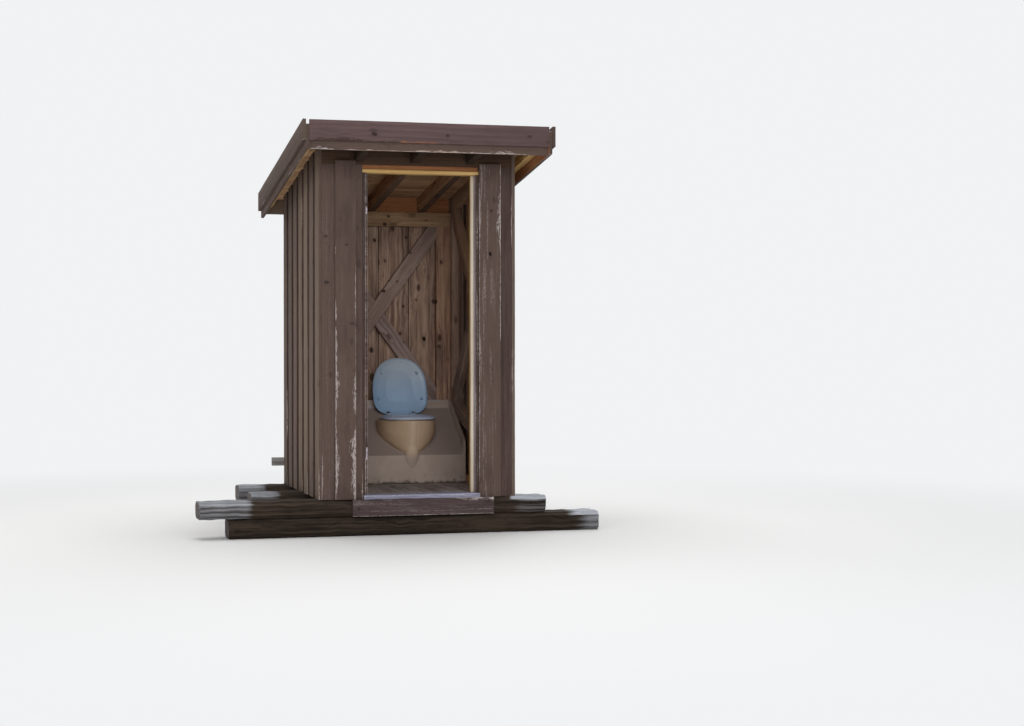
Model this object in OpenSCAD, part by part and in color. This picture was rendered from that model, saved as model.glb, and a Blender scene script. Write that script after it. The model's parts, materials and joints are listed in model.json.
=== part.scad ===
/* [Hut] */
// Width of the hut over the under boards
hut_w = 1200; // [1100:10:1500]
// Depth of the hut over the under boards
hut_d = 1420; // [1360:10:1700]
// Height of the rafters' underside over the doorway's head, at the front face
header_h = 68; // [60:1:160]
// Slope of the roof, falling to the rear, in degrees
roof_slope = 8.4; // [5:0.1:14]

/* [Cladding] */
// Thickness of the wall, roof and floor boards
board_t = 20; // [16:1:26]
// Width of a wall board
board_w = 140; // [120:1:155]
// Number of over boards on each side wall
side_overs = 7; // [6:1:8]
// Number of under boards on the rear wall
rear_unders = 6; // [5:1:7]
// Visible width of the left corner board on the front
corner_left_w = 80; // [60:1:100]
// Width of the left over board on the front
front_over_left_w = 127; // [110:1:140]
// Width of the corner board that shows at the right of the front
corner_right_w = 77; // [60:1:100]
// How far the over boards lap up over the frieze
frieze_lap = 20; // [10:1:40]

/* [Doorway] */
// Distance of the doorway's left face from the left corner
door_x = 272; // [250:1:330]
// Distance of the doorway's right face from the right corner
door_far = 236; // [210:1:300]
// Height of the doorway over the board ends
door_h = 2000; // [1900:1:2200]
// Thickness of the jamb boards
jamb_t = 20; // [16:1:28]
// Depth of the jamb boards
jamb_d = 95; // [80:1:110]
// Thickness of the door stop
stop_t = 19; // [12:1:25]
// Depth of the door stop along the jamb
stop_d = 40; // [25:1:50]
// Setback of the door stop from the front edge of the jamb
stop_setback = 48; // [30:1:50]
// Thickness of the threshold
threshold_t = 24; // [20:1:32]
// Projection of the threshold in front of the under boards
threshold_nose = 44; // [40:1:60]
// Left end of the kick board from the left corner
kick_x = 183; // [100:1:240]
// Right end of the kick board from the right corner
kick_far = 127; // [100:1:220]
// Height of the kick board
kick_h = 103; // [80:1:105]
// Distance of the upper hinge remnant's centre below the doorway's head
hinge_high_drop = 234; // [150:1:500]
// Height of the lower hinge remnant's centre
hinge_low_z = 280; // [150:1:400]
// Length of the upper hinge remnant
hinge_high_h = 42; // [30:1:80]
// Length of the lower hinge remnant
hinge_low_h = 74; // [50:1:90]
// Plate thickness of a hinge leaf
leaf_t = 3; // [2:0.5:4]
// Width of a hinge leaf
leaf_d = 30; // [20:1:38]
// Radius of a hinge knuckle
knuckle_r = 5; // [4:0.5:7]

/* [Framing] */
// Wide side of the framing timber
stud_w = 98; // [90:1:110]
// Narrow side of the framing timber
stud_t = 48; // [40:1:50]
// Depth of a rafter square to the slope
rafter_h = 98; // [80:1:120]
// Shift of the middle rafter from the centre of the hut
rafter_shift = -20; // [-60:1:60]
// Distance between rafters
rafter_pitch = 350; // [300:1:400]
// Height at which the braces' lower ends meet the posts
brace_low_z = 565; // [450:1:700]
// Gap where the half braces butt against the long brace
brace_gap = 1; // [0.5:0.5:3]
// Height of the side walls' low slanting timber at the front posts
low_front_z = 210; // [150:1:260]
// Height of the side walls' low slanting timber at the rear posts
low_rear_z = 534; // [450:1:560]

/* [Roof] */
// Overhang of the roof boards past the front face
over_front = 330; // [250:1:400]
// Overhang of the roof boards past the rear face
over_rear = 100; // [60:1:160]
// Overhang of the roof boards past each side
over_side = 134; // [110:1:200]
// Thickness of the fascia and barge boards
fascia_t = 20; // [16:1:25]
// Height of the upper fascia and barge boards
upper_h = 123; // [100:1:140]
// Height of the lower fascia and barge boards
lower_h = 140; // [120:1:150]
// How far the upper boards stand above the roof boards
upper_rise = 30; // [10:1:40]
// Height of the rear fascia
rear_fascia_h = 118; // [100:1:130]
// How far the barge boards run past the rear fascia
barge_tail = 20; // [5:1:40]
// Thickness of the roofing felt
felt_t = 4; // [3:1:6]
// Height of the verge battens
verge_h = 55; // [40:1:60]
// Number of roof boards
roof_n = 14; // [12:1:16]
// Gap between neighbouring roof and floor boards
board_gap = 4; // [2:1:6]
// Number of floor boards
floor_n = 8; // [7:1:9]

/* [Base] */
// Height of the lower bearers
bearer_h = 120; // [90:1:160]
// Height of the sills on the bearers
sill_h = 105; // [105:1:150]
// Width of sills and bearers from front to rear
sill_w = 200; // [150:1:220]
// Length of the waney corner on the old timbers
wane = 22; // [8:1:30]
// Reach of the front sill to the left of the hut's centre
front_sill_left = 1347; // [800:1:1500]
// Reach of the front sill to the right of the hut's centre
front_sill_right = 817; // [700:1:1200]
// Reach of the front bearer to both sides of the hut's centre
front_bearer_reach = 1167; // [900:1:1400]
// Reach of the other sills to the left of the hut's centre
sill_left = 950; // [750:1:1100]
// Reach of the other sills to the right of the hut's centre
sill_right = 770; // [700:1:1100]
// Reach of the other bearers to both sides
bearer_reach = 900; // [750:1:1100]
// Height of the timber across the rear wall
rail_h = 55; // [40:1:70]
// Height of the underside of the timber across the rear wall
rail_z = 122; // [60:1:200]
// Projection of the rear timber past each side wall
rail_reach = 95; // [50:1:120]

/* [Toilet unit] */
// Width of the moulded unit
unit_w = 746; // [700:1:760]
// Depth of the moulded unit
unit_d = 443; // [430:1:450]
// Height of the unit's front face over the floor
unit_front_h = 188; // [150:1:210]
// Rise of the unit's sloping top from front to rear
unit_rise = 302; // [290:1:305]
// Height of the raised kerb over the unit's top at the rear
kerb_h = 57; // [30:1:70]
// Height of the side kerbs over the front face
kerb_front_h = 108; // [80:1:130]
// Thickness of the raised kerb
kerb_t = 18; // [14:1:25]
// Wall thickness of the moulding
shell_t = 7; // [5:1:9]
// Height of the bowl rim over the floor
rim_z = 422; // [415:1:430]
// Width of the bowl at its rim
bowl_w = 386; // [380:1:396]
// Length of the bowl at its rim
bowl_l = 388; // [380:1:392]
// Projection of the rim in front of the unit
nose_out = 52; // [40:1:55]
// Height of the lower tip of the nose over the floor
nose_z = 104; // [80:1:130]
// Half width of the nose's ridge where it is broadest
nose_r = 45; // [38:1:50]
// How far the nose's ridge stands out of the bowl
nose_ridge = 5; // [3:1:6]
// Thickness of the deck round the bowl's mouth
deck_t = 10; // [8:1:12]
// Radius of the rim's outer edge
rim_round = 4; // [3:0.5:5]
// Width of the deck in front of the bowl's mouth
mouth_setback = 30; // [24:1:36]
// Width of the opening inside the rim
mouth_w = 300; // [280:1:310]
// Length of the opening inside the rim
mouth_l = 268; // [250:1:275]
// Width of the chute's lower end
chute_w = 190; // [170:1:210]
// Length of the chute's lower end
chute_l = 195; // [180:1:205]
// Height of the chute's lower end over the floor
chute_z = 150; // [120:1:170]
// Wall thickness of the chute
chute_t = 5; // [4:1:6]
// Width of the drop opening through the floor
drop_w = 280; // [200:1:300]
// Length of the drop opening through the floor
drop_l = 260; // [180:1:270]
// Distance of the drop opening behind the unit's front face
drop_setback = 40; // [30:1:60]
// Clear space between the unit and the rear wall's frame
unit_gap = 2; // [1:1:5]

/* [Seat and lid] */
// Width of the seat
seat_w = 370; // [365:1:378]
// Length of the seat ring
seat_l = 345; // [335:1:350]
// Thickness of the seat at its crest
seat_h = 26; // [20:1:27]
// Wall thickness of the seat
seat_t = 5; // [4:1:6]
// Height of the buffers under the seat
seat_gap = 5; // [4:1:6]
// Width of the ring's front part, from the hole to the front edge
seat_front_w = 50; // [45:1:60]
// Distance of the seat's rear edge from the hinge axis
plate_back = 40; // [38:1:44]
// Distance of the hinge axis in front of the bowl's rear edge
hinge_setback = 15; // [13:1:18]
// Height of the seat's crest over the hinge axis
seat_crest = 1; // [0.5:0.5:2]
// Radius of the round buffers
buffer_r = 9; // [7:1:10]
// Air left between the buffers and what they rest on
buffer_gap = 0.5; // [0.3:0.1:1]
// Width of the hole in the seat
hole_w = 214; // [190:1:230]
// Length of the hole in the seat
hole_l = 228; // [200:1:235]
// Width of the lid
lid_w = 380; // [372:1:386]
// Length of the lid
lid_l = 400; // [392:1:404]
// How far the lid's rear edge lies behind the hinge axis
lid_rear = 2; // [0:0.5:2]
// Height of the lid's crown over its edge
lid_crown = 12; // [6:1:16]
// Depth of the lid's rim
lid_edge = 10; // [8:1:12]
// Plate thickness of the lid
lid_t = 5; // [4:1:6]
// Height of the buffers under the lid
lid_gap = 9; // [9:0.5:11]
// Space left round the seat's arms in the lid
arm_gap = 6; // [5:0.5:7]
// Opening angle of the lid, in degrees
lid_open = 104; // [95:1:105]
// Radius of the hinge pin
pin_r = 4; // [3:0.5:5]
// Running clearance round the hinge pin
pin_fit = 0.06; // [0.03:0.01:0.1]
// Distance of each pin's middle from the centre of the seat
lug_x = 75; // [70:1:80]
// Width of one hinge lug
lug_w = 12; // [10:1:14]
// Air between neighbouring lugs
lug_gap = 1; // [0.8:0.1:1.5]
// Outer radius of the hinge brackets
lug_r = 9; // [8:0.5:10]

/* [Hidden] */

base_h = bearer_h + sill_h;
front_h = door_h + header_h;
// Room under sloping pieces that bear on others
bed = 0.02;
// Vertical depths of sloping pieces
rafter_v = rafter_h / cos(roof_slope);
board_v = board_t / cos(roof_slope);
// Roof-board surface over the plane of the rafters' undersides
deck_top = rafter_v + bed + board_v;
frame_in = board_t + stud_t;
frieze_z = front_h - frieze_lap;
rear_top = plane_z(hut_d + board_t);
door_right = hut_w - door_far;
head_top = door_h + jamb_t;
side_pitch = (hut_d - board_w) / (side_overs - 1);
rear_pitch = (hut_w - board_w) / (rear_unders - 1);
roof_y0 = -over_front;
roof_y1 = hut_d + over_rear;
rafter_xs = [for (i = [-1 : 1]) hut_w / 2 + rafter_shift + i * rafter_pitch - stud_t / 2];
// Toilet unit: right edge against the right-hand frame
unit_x = hut_w - frame_in - unit_w / 2;
unit_y1 = hut_d - frame_in - unit_gap;
unit_y0 = unit_y1 - unit_d;
unit_slope = unit_rise / (unit_d - kerb_t);
rim_front = unit_y0 - nose_out;
rim_back = rim_front + bowl_l;
// Hinge axis behind the seat, level with the seat's crest
hinge_y = rim_back - hinge_setback;
hinge_over_floor = rim_z + seat_gap + seat_h - seat_crest;
// Lugs of the lid, the bracket and the seat, side by side on each pin
lug_pitch = lug_w + lug_gap;
lug_xs = [for (i = [-1 : 1]) lug_x + i * lug_pitch];
ring_n = 48;
bore_r = pin_r + pin_fit;
mouth_front = rim_front + mouth_setback;
// Clear space between notched boards and the rafters
notch_gap = 1;
cut = 1;

// Height of the plane of the rafters' undersides at depth y
function plane_z(y) = front_h - y * tan(roof_slope);

// Egg outline: half width w, front point yf, rear yr, widest at ym,
// with front and rear exponents under 1 for squarer ends
function egg(w, yf, yr, ym, ef = 0.8, er = 0.72) = [
    for (i = [0 : ring_n - 1])
        let (
            a = 360 * i / ring_n,
            s = sin(a),
            c = cos(a),
            e = c > 0 ? er : ef,
            l = c > 0 ? yr - ym : ym - yf
        )
        [w * sign(s) * pow(abs(s), e), ym + l * sign(c) * pow(abs(c), e)]
];

function at_z(ring, z) = [for (p = ring) [p[0], p[1], z]];

module hut() {
    translate([-hut_w / 2, -hut_d / 2, base_h]) children();
}

module block(x0, x1, y0, y1, z0, z1) {
    translate([x0, y0, z0]) cube([x1 - x0, y1 - y0, z1 - z0]);
}

// Profile in the Y-Z plane, extruded along X
module along_x(x0, x1, pts) {
    translate([x0, 0, 0]) rotate([90, 0, 90]) linear_extrude(height = x1 - x0) polygon(pts);
}

// Piece parallel to the roof, lo and hi over the rafters' undersides
module sloped(x0, x1, y0, y1, lo, hi) {
    along_x(x0, x1, [
        [y0, plane_z(y0) + lo], [y1, plane_z(y1) + lo],
        [y1, plane_z(y1) + hi], [y0, plane_z(y0) + hi]
    ]);
}

// Piece with a level foot and a top that follows the roof
module raked(x0, x1, y0, y1, z0, hi) {
    along_x(x0, x1, [
        [y0, z0], [y1, z0],
        [y1, plane_z(y1) + hi], [y0, plane_z(y0) + hi]
    ]);
}

// Solid between stacked rings of points
module loft(rings) {
    n = len(rings[0]);
    m = len(rings);
    pts = [for (r = rings) for (p = r) p];
    sides = [
        for (j = [0 : m - 2]) for (i = [0 : n - 1])
            let (k = (i + 1) % n)
            each [
                [j * n + i, (j + 1) * n + k, (j + 1) * n + i],
                [j * n + i, j * n + k, (j + 1) * n + k]
            ]
    ];
    bottom = [[for (i = [n - 1 : -1 : 0]) i]];
    top = [[for (i = [0 : n - 1]) (m - 1) * n + i]];
    polyhedron(points = pts, faces = concat(sides, bottom, top), convexity = 6);
}

// Hewn timber along X with waney corners
module timber(x0, x1, y0, y1, z0, z1, w = wane) {
    along_x(x0, x1, [
        [y0 + w, z0], [y1 - w, z0], [y1, z0 + w], [y1, z1 - w],
        [y1 - w, z1], [y0 + w, z1], [y0, z1 - w], [y0, z0 + w]
    ]);
}

middle_y = (hut_d - sill_w) / 2;
rear_y = hut_d + board_t - sill_w;

module base_timber(left, right, y0, z0, z1) {
    color([0.36, 0.33, 0.31])
        hut() timber(hut_w / 2 - left, hut_w / 2 + right, y0, y0 + sill_w, z0, z1);
}

module front_bearer() base_timber(front_bearer_reach, front_bearer_reach, -board_t, -base_h, -sill_h);
module middle_bearer() base_timber(bearer_reach, bearer_reach, middle_y, -base_h, -sill_h);
module rear_bearer() base_timber(bearer_reach, bearer_reach, rear_y, -base_h, -sill_h);
module front_sill() base_timber(front_sill_left, front_sill_right, -board_t, -sill_h, 0);
module middle_sill() base_timber(sill_left, sill_right, middle_y, -sill_h, 0);
module rear_sill() base_timber(sill_left, sill_right, rear_y, -sill_h, 0);

threshold_x0 = door_x - jamb_t;
threshold_x1 = door_right + jamb_t;

module threshold_cut(gap = 0) {
    block(threshold_x0 - gap, threshold_x1 + gap, -threshold_nose, jamb_d + gap, 0, threshold_t);
}

drop_y = unit_y0 + drop_setback;

module floor_boards() {
    inner_w = hut_w - 2 * board_t;
    pitch = (inner_w + board_gap) / floor_n;
    color([0.45, 0.40, 0.36]) hut() difference() {
        for (i = [0 : floor_n - 1])
            block(board_t + i * pitch, board_t + (i + 1) * pitch - board_gap,
                board_t, hut_d - board_t, 0, board_t);
        threshold_cut(1);
        block(unit_x - drop_w / 2, unit_x + drop_w / 2, drop_y, drop_y + drop_l, -cut, board_t + cut);
    }
}

module threshold() {
    color([0.48, 0.46, 0.48]) hut() threshold_cut();
}

module kick_board() {
    color([0.38, 0.31, 0.30])
        hut() block(kick_x, hut_w - kick_far, -2 * board_t, -board_t, -kick_h, 0);
}

paint = [0.37, 0.31, 0.29];
paint_side = [0.46, 0.40, 0.37];
raw = [0.55, 0.42, 0.30];

module front_under_boards() {
    post_cover = door_x - jamb_t;
    color(paint) hut() {
        block(0, board_w, 0, board_t, 0, frieze_z);
        block(board_w + board_gap, post_cover, 0, board_t, 0, frieze_z);
        block(hut_w - board_w, hut_w, 0, board_t, 0, frieze_z);
        block(threshold_x1, hut_w - board_w - board_gap, 0, board_t, 0, frieze_z);
    }
}

module front_over_boards() {
    right_x1 = hut_w - corner_right_w;
    color(paint) hut() {
        block(corner_left_w, corner_left_w + front_over_left_w, -board_t, 0, 0, front_h);
        block(threshold_x1, right_x1, -board_t, 0, 0, front_h);
    }
}

// Board along X between two heights, notched over the rafters
module notched_frieze(y0, y1, z0) {
    difference() {
        raked(0, hut_w, y0, y1, z0, rafter_v);
        for (x = rafter_xs) sloped(x - notch_gap, x + stud_t + notch_gap,
            y0 - cut, y1 + cut, -bed, rafter_v + cut);
    }
}

module front_frieze() {
    color(paint) hut() notched_frieze(0, board_t, frieze_z);
}

module rear_frieze() {
    color(paint_side) hut() notched_frieze(hut_d - board_t, hut_d, rear_top);
}

// Under boards of a side wall, X from x0 to x0 + board_t
module side_unders(x0) {
    for (i = [0 : side_overs - 2]) {
        y = max(board_t, i * side_pitch + (side_pitch) / 2);
        raked(x0, x0 + board_t, y, y + board_w, 0, rafter_v);
    }
}

module side_overs_set(x0) {
    for (i = [0 : side_overs - 1])
        raked(x0, x0 + board_t, i * side_pitch, i * side_pitch + board_w, 0, rafter_v);
}

module left_under_boards() {
    color(paint_side) hut() side_unders(0);
}

module left_over_boards() {
    color(paint_side) hut() side_overs_set(-board_t);
}

module right_under_boards() {
    color(paint_side) hut() side_unders(hut_w - board_t);
}

module right_over_boards() {
    color(paint_side) hut() side_overs_set(hut_w);
}

module rear_under_boards() {
    color(paint_side) hut() for (i = [0 : rear_unders - 1])
        block(i * rear_pitch, i * rear_pitch + board_w, hut_d - board_t, hut_d, 0, rear_top);
}

module rear_over_boards() {
    color(paint_side) hut() for (i = [0 : rear_unders - 2]) {
        x = (i + 0.5) * rear_pitch;
        block(x, x + board_w, hut_d, hut_d + board_t, 0, rear_top);
    }
}

front_rail_y = board_t + stud_t;
post_y1 = hut_d - board_t;
rear_post_y0 = post_y1 - stud_t;
rear_rail_top = plane_z(post_y1);
rear_rail_low = rear_rail_top - stud_w;

module door_posts() {
    color(raw) hut() {
        block(threshold_x0 - stud_w, threshold_x0, board_t, front_rail_y, board_t, head_top);
        block(threshold_x1, threshold_x1 + stud_w, board_t, front_rail_y, board_t, head_top);
    }
}

module rear_posts() {
    color(raw) hut() {
        block(frame_in, frame_in + stud_w, rear_post_y0, post_y1, board_t, rear_rail_low);
        block(hut_w - frame_in - stud_w, hut_w - frame_in, rear_post_y0, post_y1,
            board_t, rear_rail_low);
    }
}

module side_posts(x0) {
    raked(x0, x0 + stud_t, board_t, board_t + stud_w, board_t, rafter_v);
    raked(x0, x0 + stud_t, post_y1 - stud_w, post_y1, board_t, rafter_v);
}

module left_posts() {
    color(raw) hut() side_posts(board_t);
}

module right_posts() {
    color(raw) hut() side_posts(hut_w - frame_in);
}

module front_top_rail() {
    color(raw) hut() raked(frame_in, hut_w - frame_in, board_t, front_rail_y, head_top, -bed);
}

module rear_top_rail() {
    color(raw) hut() block(frame_in, hut_w - frame_in, rear_post_y0, post_y1,
        rear_rail_low, rear_rail_top);
}

side_y0 = board_t + stud_w;
side_y1 = post_y1 - stud_w;

module side_top_rail(x0) {
    sloped(x0, x0 + stud_t, side_y0, side_y1, rafter_v - stud_w, rafter_v);
}

module left_top_rail() {
    color(raw) hut() side_top_rail(board_t);
}

module right_top_rail() {
    color(raw) hut() side_top_rail(hut_w - frame_in);
}

module rear_bottom_rail() {
    color(raw) hut() block(frame_in + stud_w, hut_w - frame_in - stud_w,
        rear_post_y0, post_y1, board_t, board_t + stud_t);
}

module side_bottom_rail(x0) {
    block(x0, x0 + stud_t, side_y0, side_y1, board_t, board_t + stud_t);
}

module left_bottom_rail() {
    color(raw) hut() side_bottom_rail(board_t);
}

module right_bottom_rail() {
    color(raw) hut() side_bottom_rail(hut_w - frame_in);
}

// Flat bar of height w between two points of a plane, longer than needed
module bar2d(p, q, w) {
    d = q - p;
    a = atan2(d[1], d[0]);
    translate(p) rotate(a) translate([-w * 2, -w / 2]) square([norm(d) + 4 * w, w]);
}

// Long diagonal from lower left to upper right, with two halves that butt
// against it, all inside the frame's opening
module cross_brace2d(x0, x1, z0, top0, top1) {
    low0 = [x0, brace_low_z];
    low1 = [x1, brace_low_z];
    high0 = [x0, top0];
    high1 = [x1, top1];
    mid = (low0 + high1) / 2;
    lean = atan2(high1[1] - low0[1], high1[0] - low0[0]);
    off = stud_w / 2 + brace_gap;
    reach = front_h;
    intersection() {
        polygon([[x0, z0], [x1, z0], high1, high0]);
        union() {
            bar2d(low0, high1, stud_w);
            intersection() {
                bar2d(mid, high0, stud_w);
                translate(mid) rotate(lean) translate([-reach, off]) square([2 * reach, reach]);
            }
            intersection() {
                bar2d(mid, low1, stud_w);
                translate(mid) rotate(lean) translate([-reach, -off - reach]) square([2 * reach, reach]);
            }
        }
    }
}

module rear_braces() {
    x0 = frame_in + stud_w;
    color(raw) hut() translate([0, post_y1, 0]) rotate([90, 0, 0]) linear_extrude(height = stud_t)
        cross_brace2d(x0, hut_w - x0, board_t + stud_t, rear_rail_low, rear_rail_low);
}

module left_braces() {
    color(raw) hut() side_brace(board_t);
}

module right_braces() {
    color(raw) hut() side_brace(hut_w - frame_in);
}

// Slanting timber under the braces, cut back where the half brace comes down
module low_timber2d(mid) {
    intersection() {
        polygon([[side_y0, 0], [side_y1, 0], [side_y1, front_h], [side_y0, front_h]]);
        difference() {
            bar2d([side_y0, low_front_z], [side_y1, low_rear_z], stud_w);
            bar2d(mid, [side_y1, brace_low_z], stud_w + 2 * brace_gap);
        }
    }
}

module side_brace(x0) {
    rail_low = rafter_v - stud_w;
    top0 = plane_z(side_y0) + rail_low;
    top1 = plane_z(side_y1) + rail_low;
    mid = [(side_y0 + side_y1) / 2, (brace_low_z + top1) / 2];
    translate([x0, 0, 0]) rotate([90, 0, 90]) linear_extrude(height = stud_t) {
        cross_brace2d(side_y0, side_y1, board_t + stud_t, top0, top1);
        low_timber2d(mid);
    }
}

module jamb(x0, stop_x0) {
    block(x0, x0 + jamb_t, 0, jamb_d, threshold_t, door_h);
    block(stop_x0, stop_x0 + stop_t, stop_setback, stop_setback + stop_d, threshold_t, door_h);
}

module left_jamb() {
    color(paint) hut() jamb(door_x - jamb_t, door_x);
}

module right_jamb() {
    color([0.72, 0.64, 0.52]) hut() jamb(door_right, door_right - stop_t);
}

module head_jamb() {
    color([0.75, 0.60, 0.38]) hut() block(threshold_x0, threshold_x1, 0, jamb_d, door_h, head_top);
}

// Leaf on the jamb's face with its knuckle at the front edge
module hinge_leaf(z, h) {
    translate([door_x, 0, z - h / 2]) {
        cube([leaf_t, leaf_d, h]);
        translate([knuckle_r, 0, 0]) cylinder(r = knuckle_r, h = h, $fn = 24);
    }
}

module hinge_leaves() {
    color([0.40, 0.38, 0.37]) hut() {
        hinge_leaf(door_h - hinge_high_drop, hinge_high_h);
        hinge_leaf(hinge_low_z, hinge_low_h);
    }
}

module rafters() {
    color(raw) hut() for (x = rafter_xs) sloped(x, x + stud_t, roof_y0, roof_y1, 0, rafter_v);
}

module verge_battens() {
    color([0.66, 0.50, 0.30]) hut() {
        sloped(-over_side, -over_side + stud_t, roof_y0, roof_y1, rafter_v - verge_h, rafter_v);
        sloped(hut_w + over_side - stud_t, hut_w + over_side, roof_y0, roof_y1,
            rafter_v - verge_h, rafter_v);
    }
}

module roof_boards() {
    pitch = (roof_y1 - roof_y0 + board_gap) / roof_n;
    color(raw) hut() for (i = [0 : roof_n - 1])
        sloped(-over_side, hut_w + over_side, roof_y0 + i * pitch,
            roof_y0 + (i + 1) * pitch - board_gap, rafter_v + bed, deck_top);
}

module roof_felt() {
    color([0.16, 0.16, 0.17]) hut() sloped(-over_side - fascia_t, hut_w + over_side + fascia_t,
        roof_y0 - fascia_t, roof_y1 + fascia_t, deck_top + bed, deck_top + bed + felt_t);
}

module front_fascia_upper() {
    z1 = plane_z(roof_y0 - fascia_t) + deck_top + upper_rise;
    color(paint) hut() block(-over_side, hut_w + over_side,
        roof_y0 - 2 * fascia_t, roof_y0 - fascia_t, z1 - upper_h, z1);
}

module front_fascia_lower() {
    z1 = plane_z(roof_y0) + deck_top;
    color(paint) hut() block(-over_side, hut_w + over_side,
        roof_y0 - fascia_t, roof_y0, z1 - lower_h, z1);
}

module rear_fascia() {
    z1 = plane_z(roof_y1 + fascia_t) + deck_top;
    color(paint_side) hut() block(-over_side, hut_w + over_side,
        roof_y1, roof_y1 + fascia_t, z1 - rear_fascia_h, z1);
}

module barge_upper(x0) {
    sloped(x0, x0 + fascia_t, roof_y0 - 2 * fascia_t, roof_y1 + fascia_t + barge_tail,
        deck_top + upper_rise - upper_h, deck_top + upper_rise);
}

module barge_lower(x0) {
    sloped(x0, x0 + fascia_t, roof_y0 - 2 * fascia_t, roof_y1 + fascia_t + barge_tail,
        deck_top - lower_h, deck_top);
}

module left_barge_upper() {
    color(paint_side) hut() barge_upper(-over_side - 2 * fascia_t);
}

module left_barge_lower() {
    color(paint_side) hut() barge_lower(-over_side - fascia_t);
}

module right_barge_upper() {
    color(paint_side) hut() barge_upper(hut_w + over_side + fascia_t);
}

module right_barge_lower() {
    color(paint_side) hut() barge_lower(hut_w + over_side);
}

module rear_rail() {
    color([0.55, 0.50, 0.42]) hut() block(-rail_reach, hut_w + rail_reach,
        hut_d + board_t, hut_d + board_t + stud_t, rail_z, rail_z + rail_h);
}

// Moves the toilet's own frame, centred on the bowl with the floor at zero
module at_unit() {
    hut() translate([unit_x, 0, board_t]) children();
}

module plinth_profile(inset) {
    y0 = unit_y0 + inset;
    y1 = unit_y1 - inset;
    z = unit_front_h - inset / cos(atan(unit_slope)) + inset * unit_slope;
    along_x(-unit_w / 2 + inset, unit_w / 2 - inset, [
        [y0, -inset], [y1, -inset], [y1, z + (y1 - y0) * unit_slope], [y0, z]
    ]);
}

module kerbs() {
    // Side kerbs with a small chamfer at the front
    side = [
        [unit_y0, unit_front_h - shell_t],
        [unit_y1, unit_front_h + unit_rise - shell_t],
        [unit_y1, unit_front_h + unit_rise + kerb_h],
        [unit_y1 - kerb_t, unit_front_h + unit_rise + kerb_h],
        [unit_y0 + kerb_t, unit_front_h + kerb_front_h],
        [unit_y0, unit_front_h + kerb_front_h - kerb_t]
    ];
    for (x = [-unit_w / 2, unit_w / 2 - kerb_t]) along_x(x, x + kerb_t, side);
    block(-unit_w / 2, unit_w / 2, unit_y1 - kerb_t, unit_y1,
        unit_front_h + unit_rise - kerb_h, unit_front_h + unit_rise + kerb_h);
}

// Sections of the bowl: shares of the way from the rim down to the front edge
bowl_drop = rim_z - unit_front_h;
bowl_steps = [1, 0.96, 0.91, 0.85, 0.78, 0.70, 0.60, 0.48, 0.36, 0.22, 0.10];

// Each section is widest where it dives into the sloping top
function bowl_ring(u, inset) =
    let (
        z = rim_z - u * bowl_drop,
        y_slope = unit_y0 + (z - unit_front_h) / unit_slope,
        v = max(0, u - 0.28) / 0.75,
        w = bowl_w / 2 * max(0.14, 1 - v * v),
        yf = rim_front + u * (nose_out - 2 * nose_ridge),
        ym = max(yf + bowl_l * 0.03, min(y_slope, rim_front + bowl_l * 0.57)),
        yr = min(rim_back, y_slope + bowl_l * 0.1)
    )
    at_z(egg(w - inset, yf + inset, yr - inset, ym, 0.95, 0.5), z);

module bowl_outer() {
    edge = rim_round / bowl_drop;
    loft([for (u = bowl_steps) bowl_ring(u, 0), bowl_ring(edge, 0), bowl_ring(0, rim_round * 0.75)]);
}

module bowl_hollow() {
    loft([for (u = bowl_steps) if (u < 0.9) bowl_ring(u, shell_t),
        bowl_ring(deck_t / bowl_drop, shell_t)]);
}

nose_top = rim_z - rim_round * 1.5;

// Ridge down the bowl's front, tapering to the tip of the nose
function nose_ring(t) =
    let (
        z = nose_top - t * (nose_top - nose_z),
        w = nose_r * lookup(t, [[0, 0.7], [0.5, 0.85], [0.74, 1], [0.88, 0.74], [0.96, 0.45], [1, 0.15]]),
        yf = rim_front - nose_ridge + nose_out * lookup(t, [[0, 0], [0.7, 0.73], [1, 1.04]])
    )
    at_z(egg(w, yf, yf + w + nose_r * 0.75, yf + w * 0.9, 0.9, 0.9), z);

module nose() {
    loft([for (t = [1, 0.98, 0.96, 0.92, 0.88, 0.81, 0.74, 0.62, 0.5, 0.25, 0]) nose_ring(t)]);
}

// Chute from the mouth down over the drop opening, grow for its outside
function chute_ring(t, z, grow) =
    let (
        w = mouth_w / 2 + t * (chute_w - mouth_w) / 2,
        yf = mouth_front + t * bowl_l * 0.18,
        yr = yf + mouth_l + t * (chute_l - mouth_l)
    )
    at_z(egg(w + grow, yf - grow, yr + grow, yf + (yr - yf) * 0.56, 0.85, 0.8), z);

module chute(grow, over) {
    loft([chute_ring(1, chute_z - over, grow), chute_ring(0.75, chute_z + bowl_drop * 0.25, grow),
        chute_ring(0.25, rim_z - bowl_drop * 0.2, grow), chute_ring(0, rim_z - deck_t, grow),
        chute_ring(0, rim_z - deck_t / 2 + over * deck_t, grow)]);
}

module toilet_unit() {
    color([0.59, 0.51, 0.41]) at_unit() difference() {
        union() {
            difference() {
                union() {
                    plinth_profile(0);
                    kerbs();
                    bowl_outer();
                    nose();
                }
                plinth_profile(shell_t);
                bowl_hollow();
            }
            chute(chute_t, 0);
            hinge_brackets();
        }
        chute(0, cut);
        hinge_bores(lug_xs[1]);
    }
}

module hinge_brackets() {
    for (s = [-1, 1]) translate([s * lug_xs[1] - lug_w / 2, hinge_y, 0]) {
        translate([0, -lug_r, rim_z - deck_t / 2])
            cube([lug_w, 2 * lug_r, hinge_over_floor - rim_z + deck_t / 2]);
        translate([0, 0, hinge_over_floor]) rotate([0, 90, 0]) cylinder(r = lug_r, h = lug_w, $fn = 48);
    }
}

module hinge_bores(x) {
    for (s = [-1, 1]) translate([s * x - lug_w / 2 - cut, hinge_y, hinge_over_floor])
        rotate([0, 90, 0]) cylinder(r = bore_r, h = lug_w + 2 * cut, $fn = 48);
}

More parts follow.
